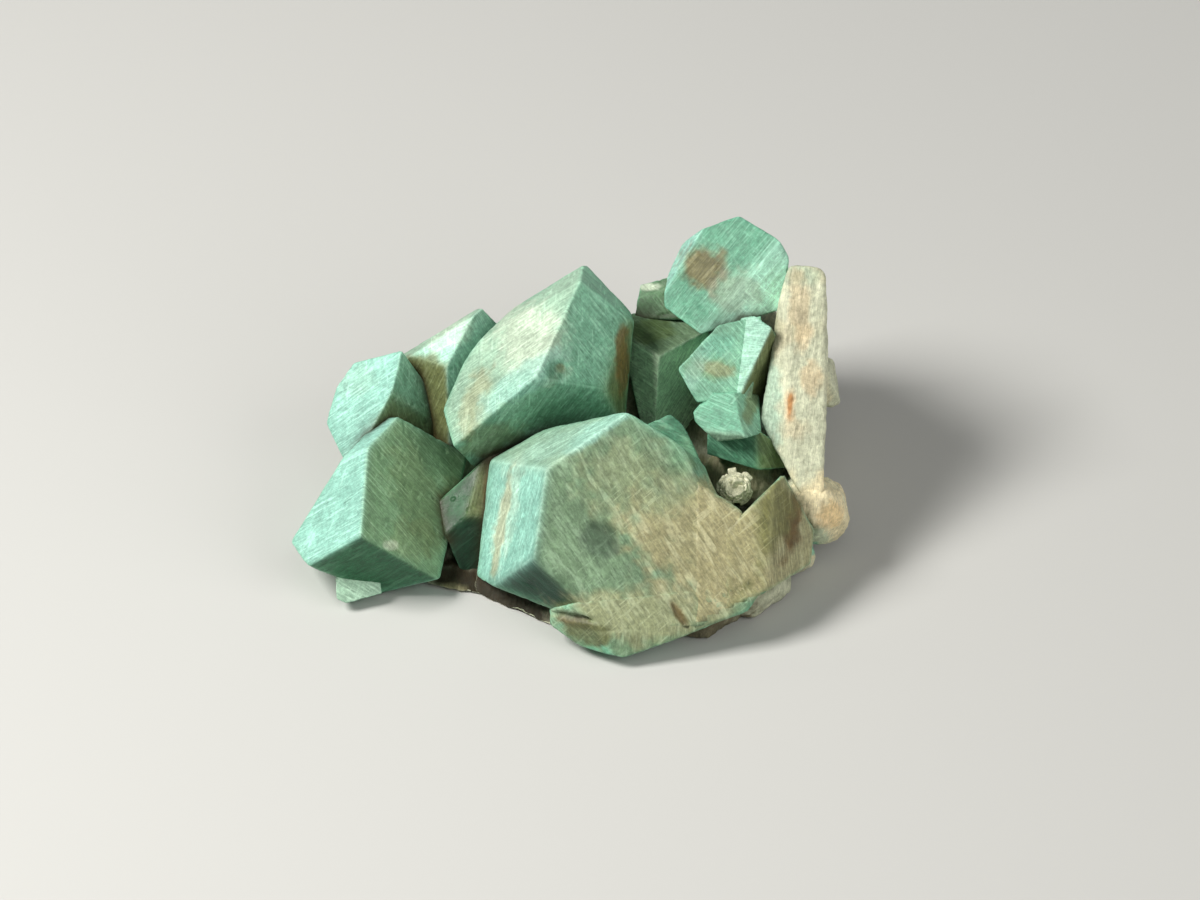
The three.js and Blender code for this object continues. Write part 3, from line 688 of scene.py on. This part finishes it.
def stone_material(name, streak_colour, streak_amount, pit_amount, roughness, bump):
    """Stone: the painted tone with lighter and darker patches, pale lines along the grain and across
    it, dark lines and specks, pale worn edges and painted shade in the crevices."""
    material = bpy.data.materials.new(name)
    n = Nodes(material)
    place = n.add("ShaderNodeTexCoord").outputs["Object"]
    tone = n.layer("tone").outputs["Color"]
    wear_and_shade = n.add("ShaderNodeSeparateColor", {0: n.layer("wear_and_shade").outputs["Color"]}).outputs
    grain = n.layer("grain").outputs["Vector"]
    broad = n.texture(place, PATCH_SCALE, 4.0)
    mottle = n.texture(place, MOTTLE_SCALE, 4.0, 0.65)
    streaks = n.texture(grain, 1.0, 5.0, 0.66)
    fine_streaks = n.texture(grain, 2.3, 4.0, 0.7)
    lines = n.texture(grain, 0.6, 2.0, 0.5)
    fine = n.texture(place, SPECK_SCALE, 4.0, 0.7)
    parts = n.add("ShaderNodeSeparateXYZ", {0: grain}).outputs
    crossed = n.add("ShaderNodeCombineXYZ", {
        0: n.maths("MULTIPLY", parts[2], 1 / CROSS_STRETCH), 1: parts[1],
        2: n.maths("MULTIPLY", parts[0], CROSS_STRETCH),
    }).outputs[0]
    scratches = n.texture(crossed, 0.6, 2.0, 0.5)
    bright = n.mix(1.0, tone, BRIGHTER, "MULTIPLY")
    lightness = n.add("ShaderNodeSeparateColor", {0: tone}).outputs[1]
    streak = n.mix(n.spread(lightness, 0.05, 0.35, 0.02, 0.26), bright, (*streak_colour, 1))
    patches = n.spread(broad, 0.3, 0.7, 0.82, 1.16)
    shade = n.maths("MULTIPLY", patches, n.spread(mottle, 0.3, 0.7, 0.8, 1.2))
    shade = n.maths("MULTIPLY", shade, n.spread(fine_streaks, 0.3, 0.7, 0.72, 1.28))
    shade = n.add("ShaderNodeCombineXYZ", {0: shade, 1: shade, 2: shade}).outputs[0]
    colour = n.mix(1.0, tone, shade, "MULTIPLY")
    pale = n.spread(streaks, 0.5, 0.66, 0, streak_amount)
    crisp = n.spread(lines, 0.58, 0.64, 0, streak_amount * 1.15)
    crossing = n.spread(scratches, 0.58, 0.63, 0, streak_amount * 1.1)
    crossing = n.maths("MULTIPLY", crossing, n.spread(broad, 0.48, 0.56, 0, 1))
    pale = n.maths("MAXIMUM", pale, n.maths("MAXIMUM", crisp, crossing))
    colour = n.mix(pale, colour, streak)
    dark = n.spread(n.texture(grain, 1.4, 3.0), 0.3, 0.44, pit_amount, 0)
    colour = n.mix(dark, colour, n.mix(1.0, tone, DARKER, "MULTIPLY"))
    colour = n.mix(n.spread(fine, 0.35, 0.6, 0.3, 0), colour, SPECK_COLOUR)
    colour = n.mix(n.maths("MULTIPLY", wear_and_shade[0], 0.4), colour, streak)
    # Painted shade: the layer's second channel darkens the crevices and the tuft's root
    colour = n.mix(wear_and_shade[1], colour, (*CREVICE_SHADE_COLOUR, 1))
    n.tree.links.new(colour, n.surface.inputs["Base Color"])
    gloss = n.spread(streaks, 0.35, 0.65, roughness - 0.07, roughness + 0.12)
    n.tree.links.new(gloss, n.surface.inputs["Roughness"])
    n.surface.inputs["Specular IOR Level"].default_value = 0.3
    height = n.maths("ADD", n.maths("MULTIPLY", fine_streaks, 0.7), n.maths("MULTIPLY", fine, 0.5))
    height = n.maths("ADD", height, streaks)
    bumps = n.add("ShaderNodeBump", {"Strength": bump, "Distance": RELIEF_DEPTH, "Height": height})
    n.tree.links.new(bumps.outputs[0], n.surface.inputs["Normal"])
    return material


def crystal_table():
    """What each crystal looks like. bodies: its solids, each with its lattice cells and the tones of
    its first faces, which are partly the crystal's colour and partly painted light and shade: paler
    where a face turns to the key light, darker where it turns away. green: how green the rest is.
    lines: two of its faces, each with the angle of the growth lines on it. marks: an oval, its colour
    and its strength. hollows: an oval and its depth in millimetres. shade: how dark the painted shade
    gets beside its neighbours, where that isn't the usual."""
    front = big_front_crystal()
    left = left_front_crystal()
    behind = left_back_crystal()
    small = small_back_crystal()
    upper = upper_centre_crystal()
    shaded = shaded_crystal()
    top = top_crystal()
    stepped = stepped_crystal_top()
    valley = valley_crystal()
    return {
        "left_front_crystal": dict(
            # Pale teal on the faces turned to the light is partly painted light; the bottom face's dark
            # teal is painted shade
            bodies=[(left, 108, (PALE_TEAL, GREY_GREEN, UNDERSIDE_SHADE_TEAL, PALE_TEAL)),
                    (lower_nub(), 36, (PALE_SAGE, PALE_SAGE))],
            green=0.5, lines=(left[0], 30, left[1], -48),
            marks=[((-35.6, -21, 1.5, 1, 0), CREAM, 0.6), ((-23, -15, 3, 9, 10), OLIVE, 0.7),
                   ((-31, -10, 5, 12, 20), OLIVE, 0.3), ((-31, -20, 5, 5, 20), OLIVE, 0.35)]),
        "left_back_crystal": dict(
            bodies=[(behind, 96, (PALE_TEAL, SOFT_GREEN, MOSS))],
            green=0.35, lines=(behind[0], 35, behind[1], -60),
            marks=[((-35, 3, 5, 4, 0), OLIVE, 0.3), ((-43, 12, 5, 3, 20), MINT, 0.5)]),
        "small_back_crystal": dict(
            bodies=[(small, 80, (PALE_MINT, MINT, PALE_SAGE, OLIVE))],
            green=0.6, lines=(small[0], 28, small[1], -60),
            marks=[((-29, 15, 4.4, 3, 0), OLIVE, 0.8), ((-24, 21, 6, 2.6, 30), CREAM, 0.3),
                   ((-27, 6, 3, 8, 0), OLIVE, 0.7)]),
        "upper_centre_crystal": dict(
            bodies=[(upper, 112, (PALE_SAGE, BRIGHT_GREEN, PALE_SAGE, BRIGHT_GREEN, OLIVE, SOFT_GREEN))],
            green=0.4, lines=(upper[0], 34, upper[1], -52),
            marks=[((-1.8, 14.4, 1.1, 1.1, 0), TAN, 0.9), ((-19, 8, 3, 8, -20), TAN, 0.55),
                   ((10.6, 16, 1.6, 7, 0), BROWN, 0.85), ((-8, 20, 8, 9, 50), CREAM, 0.5),
                   ((-9, 12, 12, 3, 35), PALE_TEAL, 0.6), ((-16, 0, 8, 3, 20), OLIVE, 0.5),
                   ((0, 5, 9, 4, 10), DEEP_GREEN, 0.45), ((-2.6, 13.6, 2.3, 2.3, 0), DEEP_GREEN, 0.6)],
            hollows=[(-2.6, 13.6, 2.4, 2.4, 0, 0.55)]),
        "shaded_crystal": dict(
            # Its side faces are painted almost white as painted light in its neighbours' shade, and the
            # olive mark on its top is a painted shadow of the crystal beside it
            bodies=[(shaded, 80, (SAGE, PAINTED_LIGHT_WHITE, PAINTED_LIGHT_WHITE))],
            green=0.95, lines=(shaded[0], -35, shaded[2], 60), shade=0.05,
            marks=[((16, 22, 5.4, 3.4, 0), DARK_OLIVE, 0.75)]),
        "back_fragment": dict(
            bodies=[(back_fragment(), 48, (DIM_GREEN, DIM_GREEN))],
            green=0.6, lines=(top[0], -55, top[2], 35),
            marks=[((16, 30.8, 3, 0.9, 0), CREAM, 0.6)]),
        "top_crystal": dict(
            bodies=[(top, 100, (MID_TEAL, PALE_MINT, PALE_TEAL))],
            green=0.4, lines=(top[0], 50, top[2], 35),
            marks=[((26.6, 34.6, 5.4, 5, 0), FADED_BROWN, 0.8), ((33, 30, 6, 5, 30), PINKISH, 0.5),
                   ((26, 25.4, 5, 2, 0), MID_TEAL, 0.5)],
            hollows=[(27, 35, 4.4, 4.4, 0, 0.18)]),
        "stepped_crystal": dict(
            bodies=[(stepped, 72, (BRIGHT_GREEN,)), (stepped_crystal_rib(), 44, (MINT, OLIVE)),
                    (stepped_crystal_middle(), 56, (MID_TEAL, BRIGHT_GREEN, PALE_SAGE)),
                    (stepped_crystal_low(), 40, (DIM_TEAL, DARK_OLIVE))],
            green=0.4, lines=(stepped[0], -50, top[2], 35),
            marks=[((28, 14.4, 6, 2.6, 0), GREY_GREEN, 0.8), ((29.4, 14.2, 4.6, 1.5, -8), TAN, 0.55),
                   ((24.6, 13, 2, 6, -25), MINT, 0.5), ((36.4, 8, 1.6, 6, -15), OLIVE, 0.7),
                   ((30, 19, 4, 2.6, 30), TEAL, 0.5)]),
        "big_front_crystal": dict(
            # Pale teal on the left face is partly painted light; the low facet's near-black teal is
            # painted shade
            bodies=[(front, 100, (SAGE, PALE_TEAL, PALE_SAGE, SHADE_TEAL, SOFT_GREEN)),
                    (big_front_crystal_right(), 36, (TAN,)),
                    (big_front_crystal_tip(), 40, (DULL_TAN, TAN)),
                    (big_front_crystal_lip(), 44, (SAGE, SAGE)),
                    (big_front_crystal_shoulder(), 28, (DIM_TEAL,))],
            green=0.6, lines=(front[0], -57, front[1], 75),
            marks=[((27, -19, 17, 13, -20), TAN, 0.9), ((12, -35, 22, 6, 5), TAN, 0.55),
                   ((14, -10, 14, 10, -30), TAN, 0.3), ((6, -20, 4.4, 3.8, -40), DARK_SLATE, 0.9),
                   ((-13.6, -16.8, 1.1, 13, -10), TAN, 0.75), ((-12.6, -14, 2.2, 13, -10), CREAM, 0.3),
                   ((21.8, -34.8, 0.9, 3.6, 32), NOTCH_BROWN, 0.75),
                   ((44.2, -15.6, 2.4, 8.2, -6), DARK_BROWN, 0.95),
                   ((41, -15, 4, 9, -20), DULL_TAN, 0.9), ((1.4, -36.4, 4.6, 1, -12), SLOT_BROWN, 0.8),
                   ((4, -38.8, 6, 2.6, -8), SHADY_OLIVE, 0.85), ((20, -8, 6, 8, -30), SAGE, 0.5),
                   ((0, 0, 11, 2.6, 20), MINT, 0.5), ((7, 3, 9, 2, 35), PALE_TEAL, 0.5),
                   ((24, -2, 4, 6, -50), SEA_GREEN, 0.4), ((36.6, -8, 2, 5, -42), SOFT_GREEN, 0.4)],
            hollows=[(6, -20, 4.2, 3.8, -40, 0.6), (0.6, -35.2, 5, 0.7, -10, 1.2),
                     (21.8, -34.8, 0.7, 3.4, 32, 0.9), (34, -30, 6, 0.8, 28, 0.3)]),
        "valley_crystal": dict(
            # Its dark tones are painted shade in the valley between the crystals
            bodies=[(valley, 64, (VALLEY_SHADE_GREEN, OLIVE, SHADE_TEAL))],
            green=0.8, lines=(valley[0], 40, valley[1], 80),
            marks=[((-16.5, -12, 1, 7, 0), BROWN, 0.6)]),
    }


ROCK_MARKS = [
    ((51, -16, 9, 11, 0), WARM_ROCK, 0.85), ((43.9, 7, 1.5, 3.6, -5), ORANGE_ROCK, 0.6),
    ((43.9, 7, 0.7, 2.6, -5), RUST, 0.8), ((38.8, 10, 3.4, 19, 4), PALE_TEAL, 0.45),
    ((46, 33, 5, 2.4, 0), PALE_SAGE, 0.5), ((52, -15, 3, 3, 0), TAWNY_ROCK, 0.5),
    ((50, -20, 3, 2.4, 0), PALE_SAGE, 0.6), ((49, -22, 1.2, 1.2, 0), TEAL, 0.8),
    # The near-black oval below the left crystals is painted shade on the underside
    ((-16, -31, 18, 8, -15), UNDERSIDE_SHADE_ROCK, 1.0), ((-24, -30.4, 3.4, 1.8, 0), TAN, 0.8),
    ((26, -38, 13, 4, 12), BROWN_ROCK, 0.85), ((33, -6, 8, 8, 0), TAN, 0.8),
    ((46, 26, 2.4, 9, 5), ORANGE_ROCK, 0.45), ((48, 12, 2.4, 4, 0), ORANGE_ROCK, 0.5),
    ((45, 2, 3, 3, 0), ORANGE_ROCK, 0.3), ((20, 6, 12, 12, 0), SHADY_OLIVE, 0.8),
]


def matrix_table():
    """The pieces of matrix. bodies: the solids with their lattice cells. sharper: how much sharper
    the edges are than the rock's usual. coarse: how much of the coarse relief it has. dark: how dark
    the painted shade gets beside the crystals."""
    return {
        "pale_slab": dict(
            bodies=[(pale_slab(), 120), (lump((50.2, 12.4, -5), (2.7, 4.8, 11)), 40)],
            sharper=2.4, coarse=0.35),
        "lower_right_rock": dict(bodies=[
            (lump((47.8, -13.6, 0), (7.9, 7.2, 11)), 72), (lump((42.2, -19.8, 0), (6.4, 7.8, 11)), 56),
            (lump((33.4, -28, 3), (11.2, 8.4, 11)), 60), (lump((24, -33, 4), (12, 8.8, 12)), 60)]),
        "underside_rock": dict(bodies=[(underside_left(), 60), (underside_right(), 60)]),
        "hollow_floor": dict(
            bodies=[(lump((36, -8, -10), (9, 9, 9)), 48), (lump((33, -10, -1.4), (3.2, 2.8, 5.4)), 36)],
            dark=0.25),
        "back_rock": dict(bodies=[
            (lump((4, -4, -32), (42, 25, 10)), 84), (lump((31, 11, -33), (20, 21, 9)), 56),
            (lump((-25, 0, -29), (19, 15, 9)), 56), (lump((10, -20, -12), (28, 16, 14)), 48)]),
    }


def solids_of(crystals):
    """The solids of all the crystals in the table, in its order."""
    return [faces for look in crystals.values() for faces, _, _ in look["bodies"]]


def crevice(points, neighbours):
    """Painted shade in the hollows: near 1 where a point lies within a millimetre or so of a neighbour.
    """
    total = np.zeros(len(points))
    for faces in neighbours:
        gap = clearance(points, faces)
        total += np.exp(-np.maximum(gap, 0) / CREVICE_REACH) * (gap > -BURIED)
    return np.clip(total, 0, 1)


def paint(base, where, normal, marks, seed):
    """The tone of each point: the base tone under its marks, which lie on the showy side only."""
    tone = base
    ragged = 0.3 * noise(where, 2.2, seed) + 0.15 * noise(where, 0.8, seed + 1)
    shows = soft_step(normal @ OUT, -0.35, 0.1)
    for spot, colour, strength in marks:
        weight = (mark_weight(spot, where, ragged) * strength * shows)[:, None]
        tone = tone * (1 - weight) + colour * weight
    return tone


def face_tones(points, share, tones, green, seed):
    """The tone of each point before its marks: each face's tone by the point's share in it, and
    teal to green in patches for the rest. The faces' tones hold painted light and painted shade as
    well as colour."""
    patches = 0.5 + 0.5 * noise(points, 7, seed + 6) + 0.25 * noise(points, 2.4, seed + 7)
    mixed = np.clip(green + 0.45 * (patches - 0.5), 0, 1)[:, None]
    base = TEAL * (1 - mixed) + SEA_GREEN * mixed
    share = share / share.sum(axis=1)[:, None]
    told = share[:, :len(tones)]
    keep = TONE_SHARE * told.sum(axis=1)[:, None]
    return base * (1 - keep) + TONE_SHARE * told @ np.array(tones) * (1 + 0.12 * (patches - 0.5))[:, None]


# The relief of the crystals: the height of each kind and its size, in millimetres
RIB_HEIGHT, RIB_LENGTH, RIB_WIDTH = 0.05, 9, 0.9
SWELLS = (0.05, 2.6)
PIT_DEPTH, PIT_SIZE = 0.16, 1.6
TERRACE_HEIGHT, TERRACE_SIZE = 0.05, 9
EDGE_LOSS, CHIP_DEPTH, CHIP_SIZE = 0.1, 0.25, 1.3
SEAM_GAPS = (0.2, 0.9)  # the wear of an edge fades between these gaps to the same crystal's next solid
CREVICE_SHADE = 0.85  # how dark the painted shade gets beside a neighbour
LINE_LENGTH, LINE_WIDTH = 5, 0.3  # how long and how wide the growth lines are


def build_crystal(name, look, material, sharpness, all_solids, seed):
    """One visual crystal: its worn solids in one mesh. A point moves along its normal by growth ribs,
    swells and terraces, less pits, etched hollows and the loss at worn edges."""
    parts = []
    own = [faces for faces, _, _ in look["bodies"]]
    others = [faces for faces in all_solids if not any(faces is mine for mine in own)]
    along = lamella_normal(*look["lines"])
    side = np.cross(along, OUT)
    side /= np.linalg.norm(side)
    third = np.cross(along, side)
    for faces, cells, tones in look["bodies"]:
        points, normal, worn, share, squares = gauge_surface(faces, cells, sharpness)
        where = showy_frame(points)
        for sibling in own:
            if sibling is not faces:
                worn = worn * soft_step(clearance(points, sibling), *SEAM_GAPS)
        layers_out = points @ along
        ribs = [points @ side / RIB_LENGTH, points @ third / RIB_LENGTH, layers_out / RIB_WIDTH]
        height = RIB_HEIGHT * noise(np.stack(ribs, -1), 1, seed) + relief(points, SWELLS, seed + 2)
        height -= PIT_DEPTH * soft_step(noise(points, PIT_SIZE, seed + 3), 0.55, 0.9)
        height += TERRACE_HEIGHT * np.round(2 * noise(points, TERRACE_SIZE, seed + 9))
        for *spot, depth in look.get("hollows", ()):
            height -= depth * mark_weight(spot, where, 0) * soft_step(normal @ OUT, 0.3, 0.6)
        chips = CHIP_DEPTH * soft_step(noise(points, CHIP_SIZE, seed + 5), 0.2, 0.8)
        height -= worn * (EDGE_LOSS + chips)
        points = points + normal * height[:, None]
        points[:, 2] = np.maximum(points[:, 2], 0)
        base = face_tones(points, share ** (TONE_SHARPNESS / sharpness), tones, look["green"], seed)
        tone = paint(base, where, normal, look["marks"], seed + 8)
        # Painted shade where the crystal lies close to a neighbour
        dark = crevice(points, others) * look.get("shade", CREVICE_SHADE)
        grain = [points @ side / LINE_LENGTH, points @ third / LINE_LENGTH, layers_out / LINE_WIDTH]
        parts.append((points, squares, tone, worn, dark, np.stack(grain, -1)))
    finish_piece(name, parts, "amazonite_crystals", material)


# The relief of the matrix: the height of each kind and its size, in millimetres
KNOBS = (0.34, 3.4)
BUMPS = (0.2, 1.3)
THREADS = (0.06, 0.5)
CRUMBS = (0.12, 0.8)
BREAK_DEPTH, BREAK_SIZE = 0.3, 1.8
ROCK_LOSS = 0.25  # how far the coarse relief lies under the plain lump
ROCK_WEAR, ROCK_SHADE = 0.4, 0.5  # how pale worn edges get, and how dark the painted shade gets beside a crystal
THREAD_STRETCH = np.array([1, 0.12, 0.7])
FIBRE_TURN = np.array([[0.99, 0.14, 0], [-0.14, 0.99, 0], [0, 0, 1.0]])  # the fibres lean a little
FIBRE_SIZE = np.array([0.4, 3.6, 1.2])  # across, up and out, in millimetres


def build_rock(name, look, material, sharpness, crystal_solids, seed):
    """Matrix rock: worn lumps in one mesh. A point moves along its normal by coarse knobs and bumps,
    less breaks, and by fine threads and crumbs."""
    parts = []
    coarse = look.get("coarse", 1.0)
    for faces, cells in look["bodies"]:
        points, normal, worn, _, squares = gauge_surface(faces, cells, sharpness * look.get("sharper", 1))
        where = showy_frame(points)
        height = relief(points, KNOBS, seed) + relief(points, BUMPS, seed + 1) - ROCK_LOSS
        threads = relief(where * THREAD_STRETCH, THREADS, seed + 2)
        height = coarse * height + threads + relief(points, CRUMBS, seed + 3)
        height -= BREAK_DEPTH * coarse * soft_step(noise(points, BREAK_SIZE, seed + 6), 0.4, 0.8)
        points = points + normal * height[:, None]
        points[:, 2] = np.maximum(points[:, 2], 0)
        patches = soft_step(noise(points, 5, seed + 4), 0.1, 0.7)[:, None] * 0.35
        base = PALE_ROCK * (1 - patches) + SANDY_ROCK * patches
        tone = paint(base, where, normal, ROCK_MARKS, seed + 5)
        # Painted shade where the rock lies close to a crystal
        dark = crevice(points, crystal_solids) * look.get("dark", ROCK_SHADE)
        grain = (where @ FIBRE_TURN) / FIBRE_SIZE
        parts.append((points, squares, tone, worn * ROCK_WEAR, dark, grain))
    finish_piece(name, parts, "pale_feldspar_matrix", material)


GOLDEN_TURN = np.pi * (3 - 5 ** 0.5)  # spreads the blades evenly
TUFT_ROOT = np.array([33.0, -9.6, 4.6])
TUFT_RISE = 1.7  # how far the last blade lies out from the first, in millimetres
LOW_TILT, TILT_GAIN = 4, 34  # degrees: the first blade's tilt, and what the last one adds to it
LONG_BLADE, BLADE_LOSS = 4.0, 1.9  # millimetres: the first blade, and what the last one is shorter by
BLADE_CELLS, BLADE_SHARPNESS = 16, 40
BLADE_RIPPLE = (0.06, 0.7)  # height and size, in millimetres
BLADE_GRAIN = 0.8  # how coarse the blades' streaks are, in millimetres
# how pale the blades' worn edges get, and how dark the painted shade at the root gets
BLADE_WEAR, BLADE_SHADE = 0.3, 0.15


def blade_faces(middle, reach, roll, length, width, thickness):
    """One thin blade: two broad sides, two edges, a tip and a root, and two bevels beside the tip."""
    lift = np.array([0, 0, 1.0]) - reach[2] * reach
    lift /= np.linalg.norm(lift)
    flat = lift * np.cos(roll) + np.cross(reach, lift) * np.sin(roll)
    over = np.cross(reach, flat)
    faces = []
    for direction, size in ((flat, thickness), (-flat, thickness), (over, width), (-over, width),
                            (reach, length), (-reach, 1.0), (reach + over, length * 0.78 + 0.4),
                            (reach - over, length * 0.7 + 0.5)):
        unit = direction / np.linalg.norm(direction) @ SHOWY
        faces.append((unit, unit @ middle + size))
    return faces


def build_tuft(material, blades, seed):
    """The albite tuft: thin blades with bevelled tips, which overlap like scales round a low dome,
    with painted shade towards their root.
    """
    draw = np.random.default_rng(seed)
    parts = []
    root = row_frame(TUFT_ROOT)
    for k in range(blades):
        rise = k / blades
        tip = np.radians(LOW_TILT + TILT_GAIN * rise + draw.uniform(-5, 5))
        swing = k * GOLDEN_TURN + draw.uniform(-0.2, 0.2)
        length = (LONG_BLADE - BLADE_LOSS * rise) * draw.uniform(0.88, 1.04)
        width, thickness = draw.uniform(0.8, 1.3), draw.uniform(0.18, 0.3)
        reach = np.array([np.sin(swing) * np.cos(tip), np.cos(swing) * np.cos(tip), np.sin(tip)])
        roll = draw.uniform(-0.5, 0.5)
        faces = blade_faces(root + TUFT_RISE * rise * OUT, reach, roll, length, width, thickness)
        points, normal, worn, _, squares = gauge_surface(faces, BLADE_CELLS, BLADE_SHARPNESS)
        points = points + normal * relief(points, BLADE_RIPPLE, seed + k)[:, None]
        tone = np.repeat((WHITE_ALBITE * draw.uniform(0.85, 1.05))[None], len(points), axis=0)
        # Painted shade: darker the lower a point lies in the tuft
        deep = 1 - soft_step((points - root) @ OUT, -0.5, 1.5)
        parts.append((points, squares, tone, worn * BLADE_WEAR, deep * BLADE_SHADE, points / BLADE_GRAIN))
    finish_piece("albite_blades", parts, "albite_tuft", material)


def soft_light(name, direction, distance, size, power, colour):
    """A square soft light, by the way it lies, across, up and out of the showy side, its distance
    and size in metres and its power in watts."""
    lamp = bpy.data.lights.new(name, "AREA")
    lamp.size = size
    lamp.energy = power
    lamp.color = colour
    light = bpy.data.objects.new(name, lamp)
    toward = Vector(np.asarray(direction, float) @ SHOWY).normalized()
    light.location = toward * distance
    light.rotation_euler = toward.to_track_quat("Z", "Y").to_euler()
    bpy.context.scene.collection.objects.link(light)


class AmazoniteSettings(bpy.types.PropertyGroup):
    edge_sharpness: bpy.props.FloatProperty(
        name="Edge sharpness", description="Higher keeps the crystals' edges less worn",
        default=90.0, min=8.0)
    rock_sharpness: bpy.props.FloatProperty(
        name="Rock sharpness", description="Higher keeps the matrix more angular", default=14.0, min=6.0)
    blade_count: bpy.props.IntProperty(
        name="Albite blades", description="How many thin blades overlap in the tuft", default=44, min=4)
    streak_colour: bpy.props.FloatVectorProperty(
        name="Streak colour", description="Colour of the pale streaks in the crystals", subtype="COLOR",
        default=(0.5, 0.68, 0.55), min=0.0, max=1.0)
    streak_amount: bpy.props.FloatProperty(
        name="Streaks", description="How strongly the pale streaks show", subtype="FACTOR",
        default=0.5, min=0.0, max=1.0)
    light_power: bpy.props.FloatProperty(
        name="Key light", description="Power of the main soft light", default=11.2, unit="POWER")


class OBJECT_OT_amazonite_crystals(bpy.types.Operator):
    """Builds the amazonite crystals, each as one worn solid"""
    bl_idname = "object.amazonite_crystals"
    bl_label = "Amazonite crystals"

    def execute(self, context):
        settings = context.scene.amazonite
        material = stone_material("amazonite", settings.streak_colour, settings.streak_amount,
                                  pit_amount=0.35, roughness=0.42, bump=0.35)
        crystals = crystal_table()
        solids = solids_of(crystals)
        for number, (name, look) in enumerate(crystals.items()):
            seed = CRYSTAL_SEED + SEED_STEP * number
            build_crystal(name, look, material, settings.edge_sharpness, solids, seed)
        return {"FINISHED"}


class OBJECT_OT_feldspar_matrix(bpy.types.Operator):
    """Builds the pale feldspar matrix in lumps of broken rock"""
    bl_idname = "object.feldspar_matrix"
    bl_label = "Feldspar matrix"

    def execute(self, context):
        settings = context.scene.amazonite
        material = stone_material("feldspar", streak_colour=(0.7, 0.7, 0.55), streak_amount=0.3,
                                  pit_amount=0.08, roughness=0.62, bump=0.45)
        solids = solids_of(crystal_table())
        for number, (name, look) in enumerate(matrix_table().items()):
            seed = ROCK_SEED + SEED_STEP * number
            build_rock(name, look, material, settings.rock_sharpness, solids, seed)
        return {"FINISHED"}


class OBJECT_OT_albite_tuft(bpy.types.Operator):
    """Builds the tuft of white albite blades"""
    bl_idname = "object.albite_tuft"
    bl_label = "Albite tuft"

    def execute(self, context):
        material = stone_material("albite", streak_colour=(0.75, 0.74, 0.62), streak_amount=0.4,
                                  pit_amount=0.0, roughness=0.4, bump=0.3)
        build_tuft(material, context.scene.amazonite.blade_count, TUFT_SEED)
        return {"FINISHED"}


class OBJECT_OT_specimen_stage(bpy.types.Operator):
    """Sets the camera, the pale floor and the soft lights"""
    bl_idname = "object.specimen_stage"
    bl_label = "Stage"

    def execute(self, context):
        scene = context.scene
        lens = bpy.data.cameras.new("camera")
        lens.lens = 400
        lens.sensor_width = 36
        lens.clip_start, lens.clip_end = 0.1, 20
        camera = bpy.data.objects.new("camera", lens)
        aim = row_frame(CAMERA_AIM) * MM
        camera.location = Vector(aim + OUT * CAMERA_DISTANCE)
        camera.rotation_euler = Vector(OUT).to_track_quat("Z", "Y").to_euler()
        scene.collection.objects.link(camera)
        scene.camera = camera
        mesh = bpy.data.meshes.new("floor")
        reach = FLOOR_REACH
        corners = [(-reach, -reach, 0), (reach, -reach, 0), (reach, reach, 0), (-reach, reach, 0)]
        mesh.from_pydata(corners, [], [(0, 1, 2, 3)])
        floor = bpy.data.objects.new("floor", mesh)
        paper = bpy.data.materials.new("floor_paper")
        paper.use_nodes = True
        surface = paper.node_tree.nodes["Principled BSDF"]
        surface.inputs["Base Color"].default_value = (0.5, 0.5, 0.485, 1)
        surface.inputs["Roughness"].default_value = 0.9
        mesh.materials.append(paper)
        scene.collection.objects.link(floor)
        soft_light("key", (-0.6, 0.5, 0.62), 0.9, 0.32, scene.amazonite.light_power, (1, 0.98, 0.94))
        soft_light("fill", (0.75, 0.1, 0.75), 1.2, 0.8, 6, (1, 0.99, 0.95))
        soft_light("front", (0.15, 0.35, 1), 1.4, 0.7, 2.2, (1, 0.99, 0.95))
        world = bpy.data.worlds.new("studio")
        world.use_nodes = True
        sky = world.node_tree.nodes["Background"]
        sky.inputs["Color"].default_value = (0.9, 0.93, 0.95, 1)
        sky.inputs["Strength"].default_value = 0.12
        scene.world = world
        scene.view_settings.view_transform = "Standard"
        return {"FINISHED"}


class VIEW3D_PT_amazonite(bpy.types.Panel):
    """Lists the settings and the steps that build the specimen"""
    bl_label = "Amazonite cluster"
    bl_space_type = "VIEW_3D"
    bl_region_type = "UI"
    bl_category = "Crystals"

    def draw(self, context):
        settings = context.scene.amazonite
        for key in AmazoniteSettings.__annotations__:
            self.layout.prop(settings, key)
        for operator in OPERATORS:
            self.layout.operator(operator.bl_idname)


OPERATORS = (OBJECT_OT_amazonite_crystals, OBJECT_OT_feldspar_matrix, OBJECT_OT_albite_tuft,
             OBJECT_OT_specimen_stage)
CLASSES = (AmazoniteSettings, *OPERATORS, VIEW3D_PT_amazonite)


def register():
    for entry in CLASSES:
        bpy.utils.register_class(entry)
    bpy.types.Scene.amazonite = bpy.props.PointerProperty(type=AmazoniteSettings)


def unregister():
    del bpy.types.Scene.amazonite
    for entry in reversed(CLASSES):
        bpy.utils.unregister_class(entry)


def main():
    register()
    bpy.ops.object.amazonite_crystals()
    bpy.ops.object.feldspar_matrix()
    bpy.ops.object.albite_tuft()
    bpy.ops.object.specimen_stage()


if __name__ == "__main__":
    main()
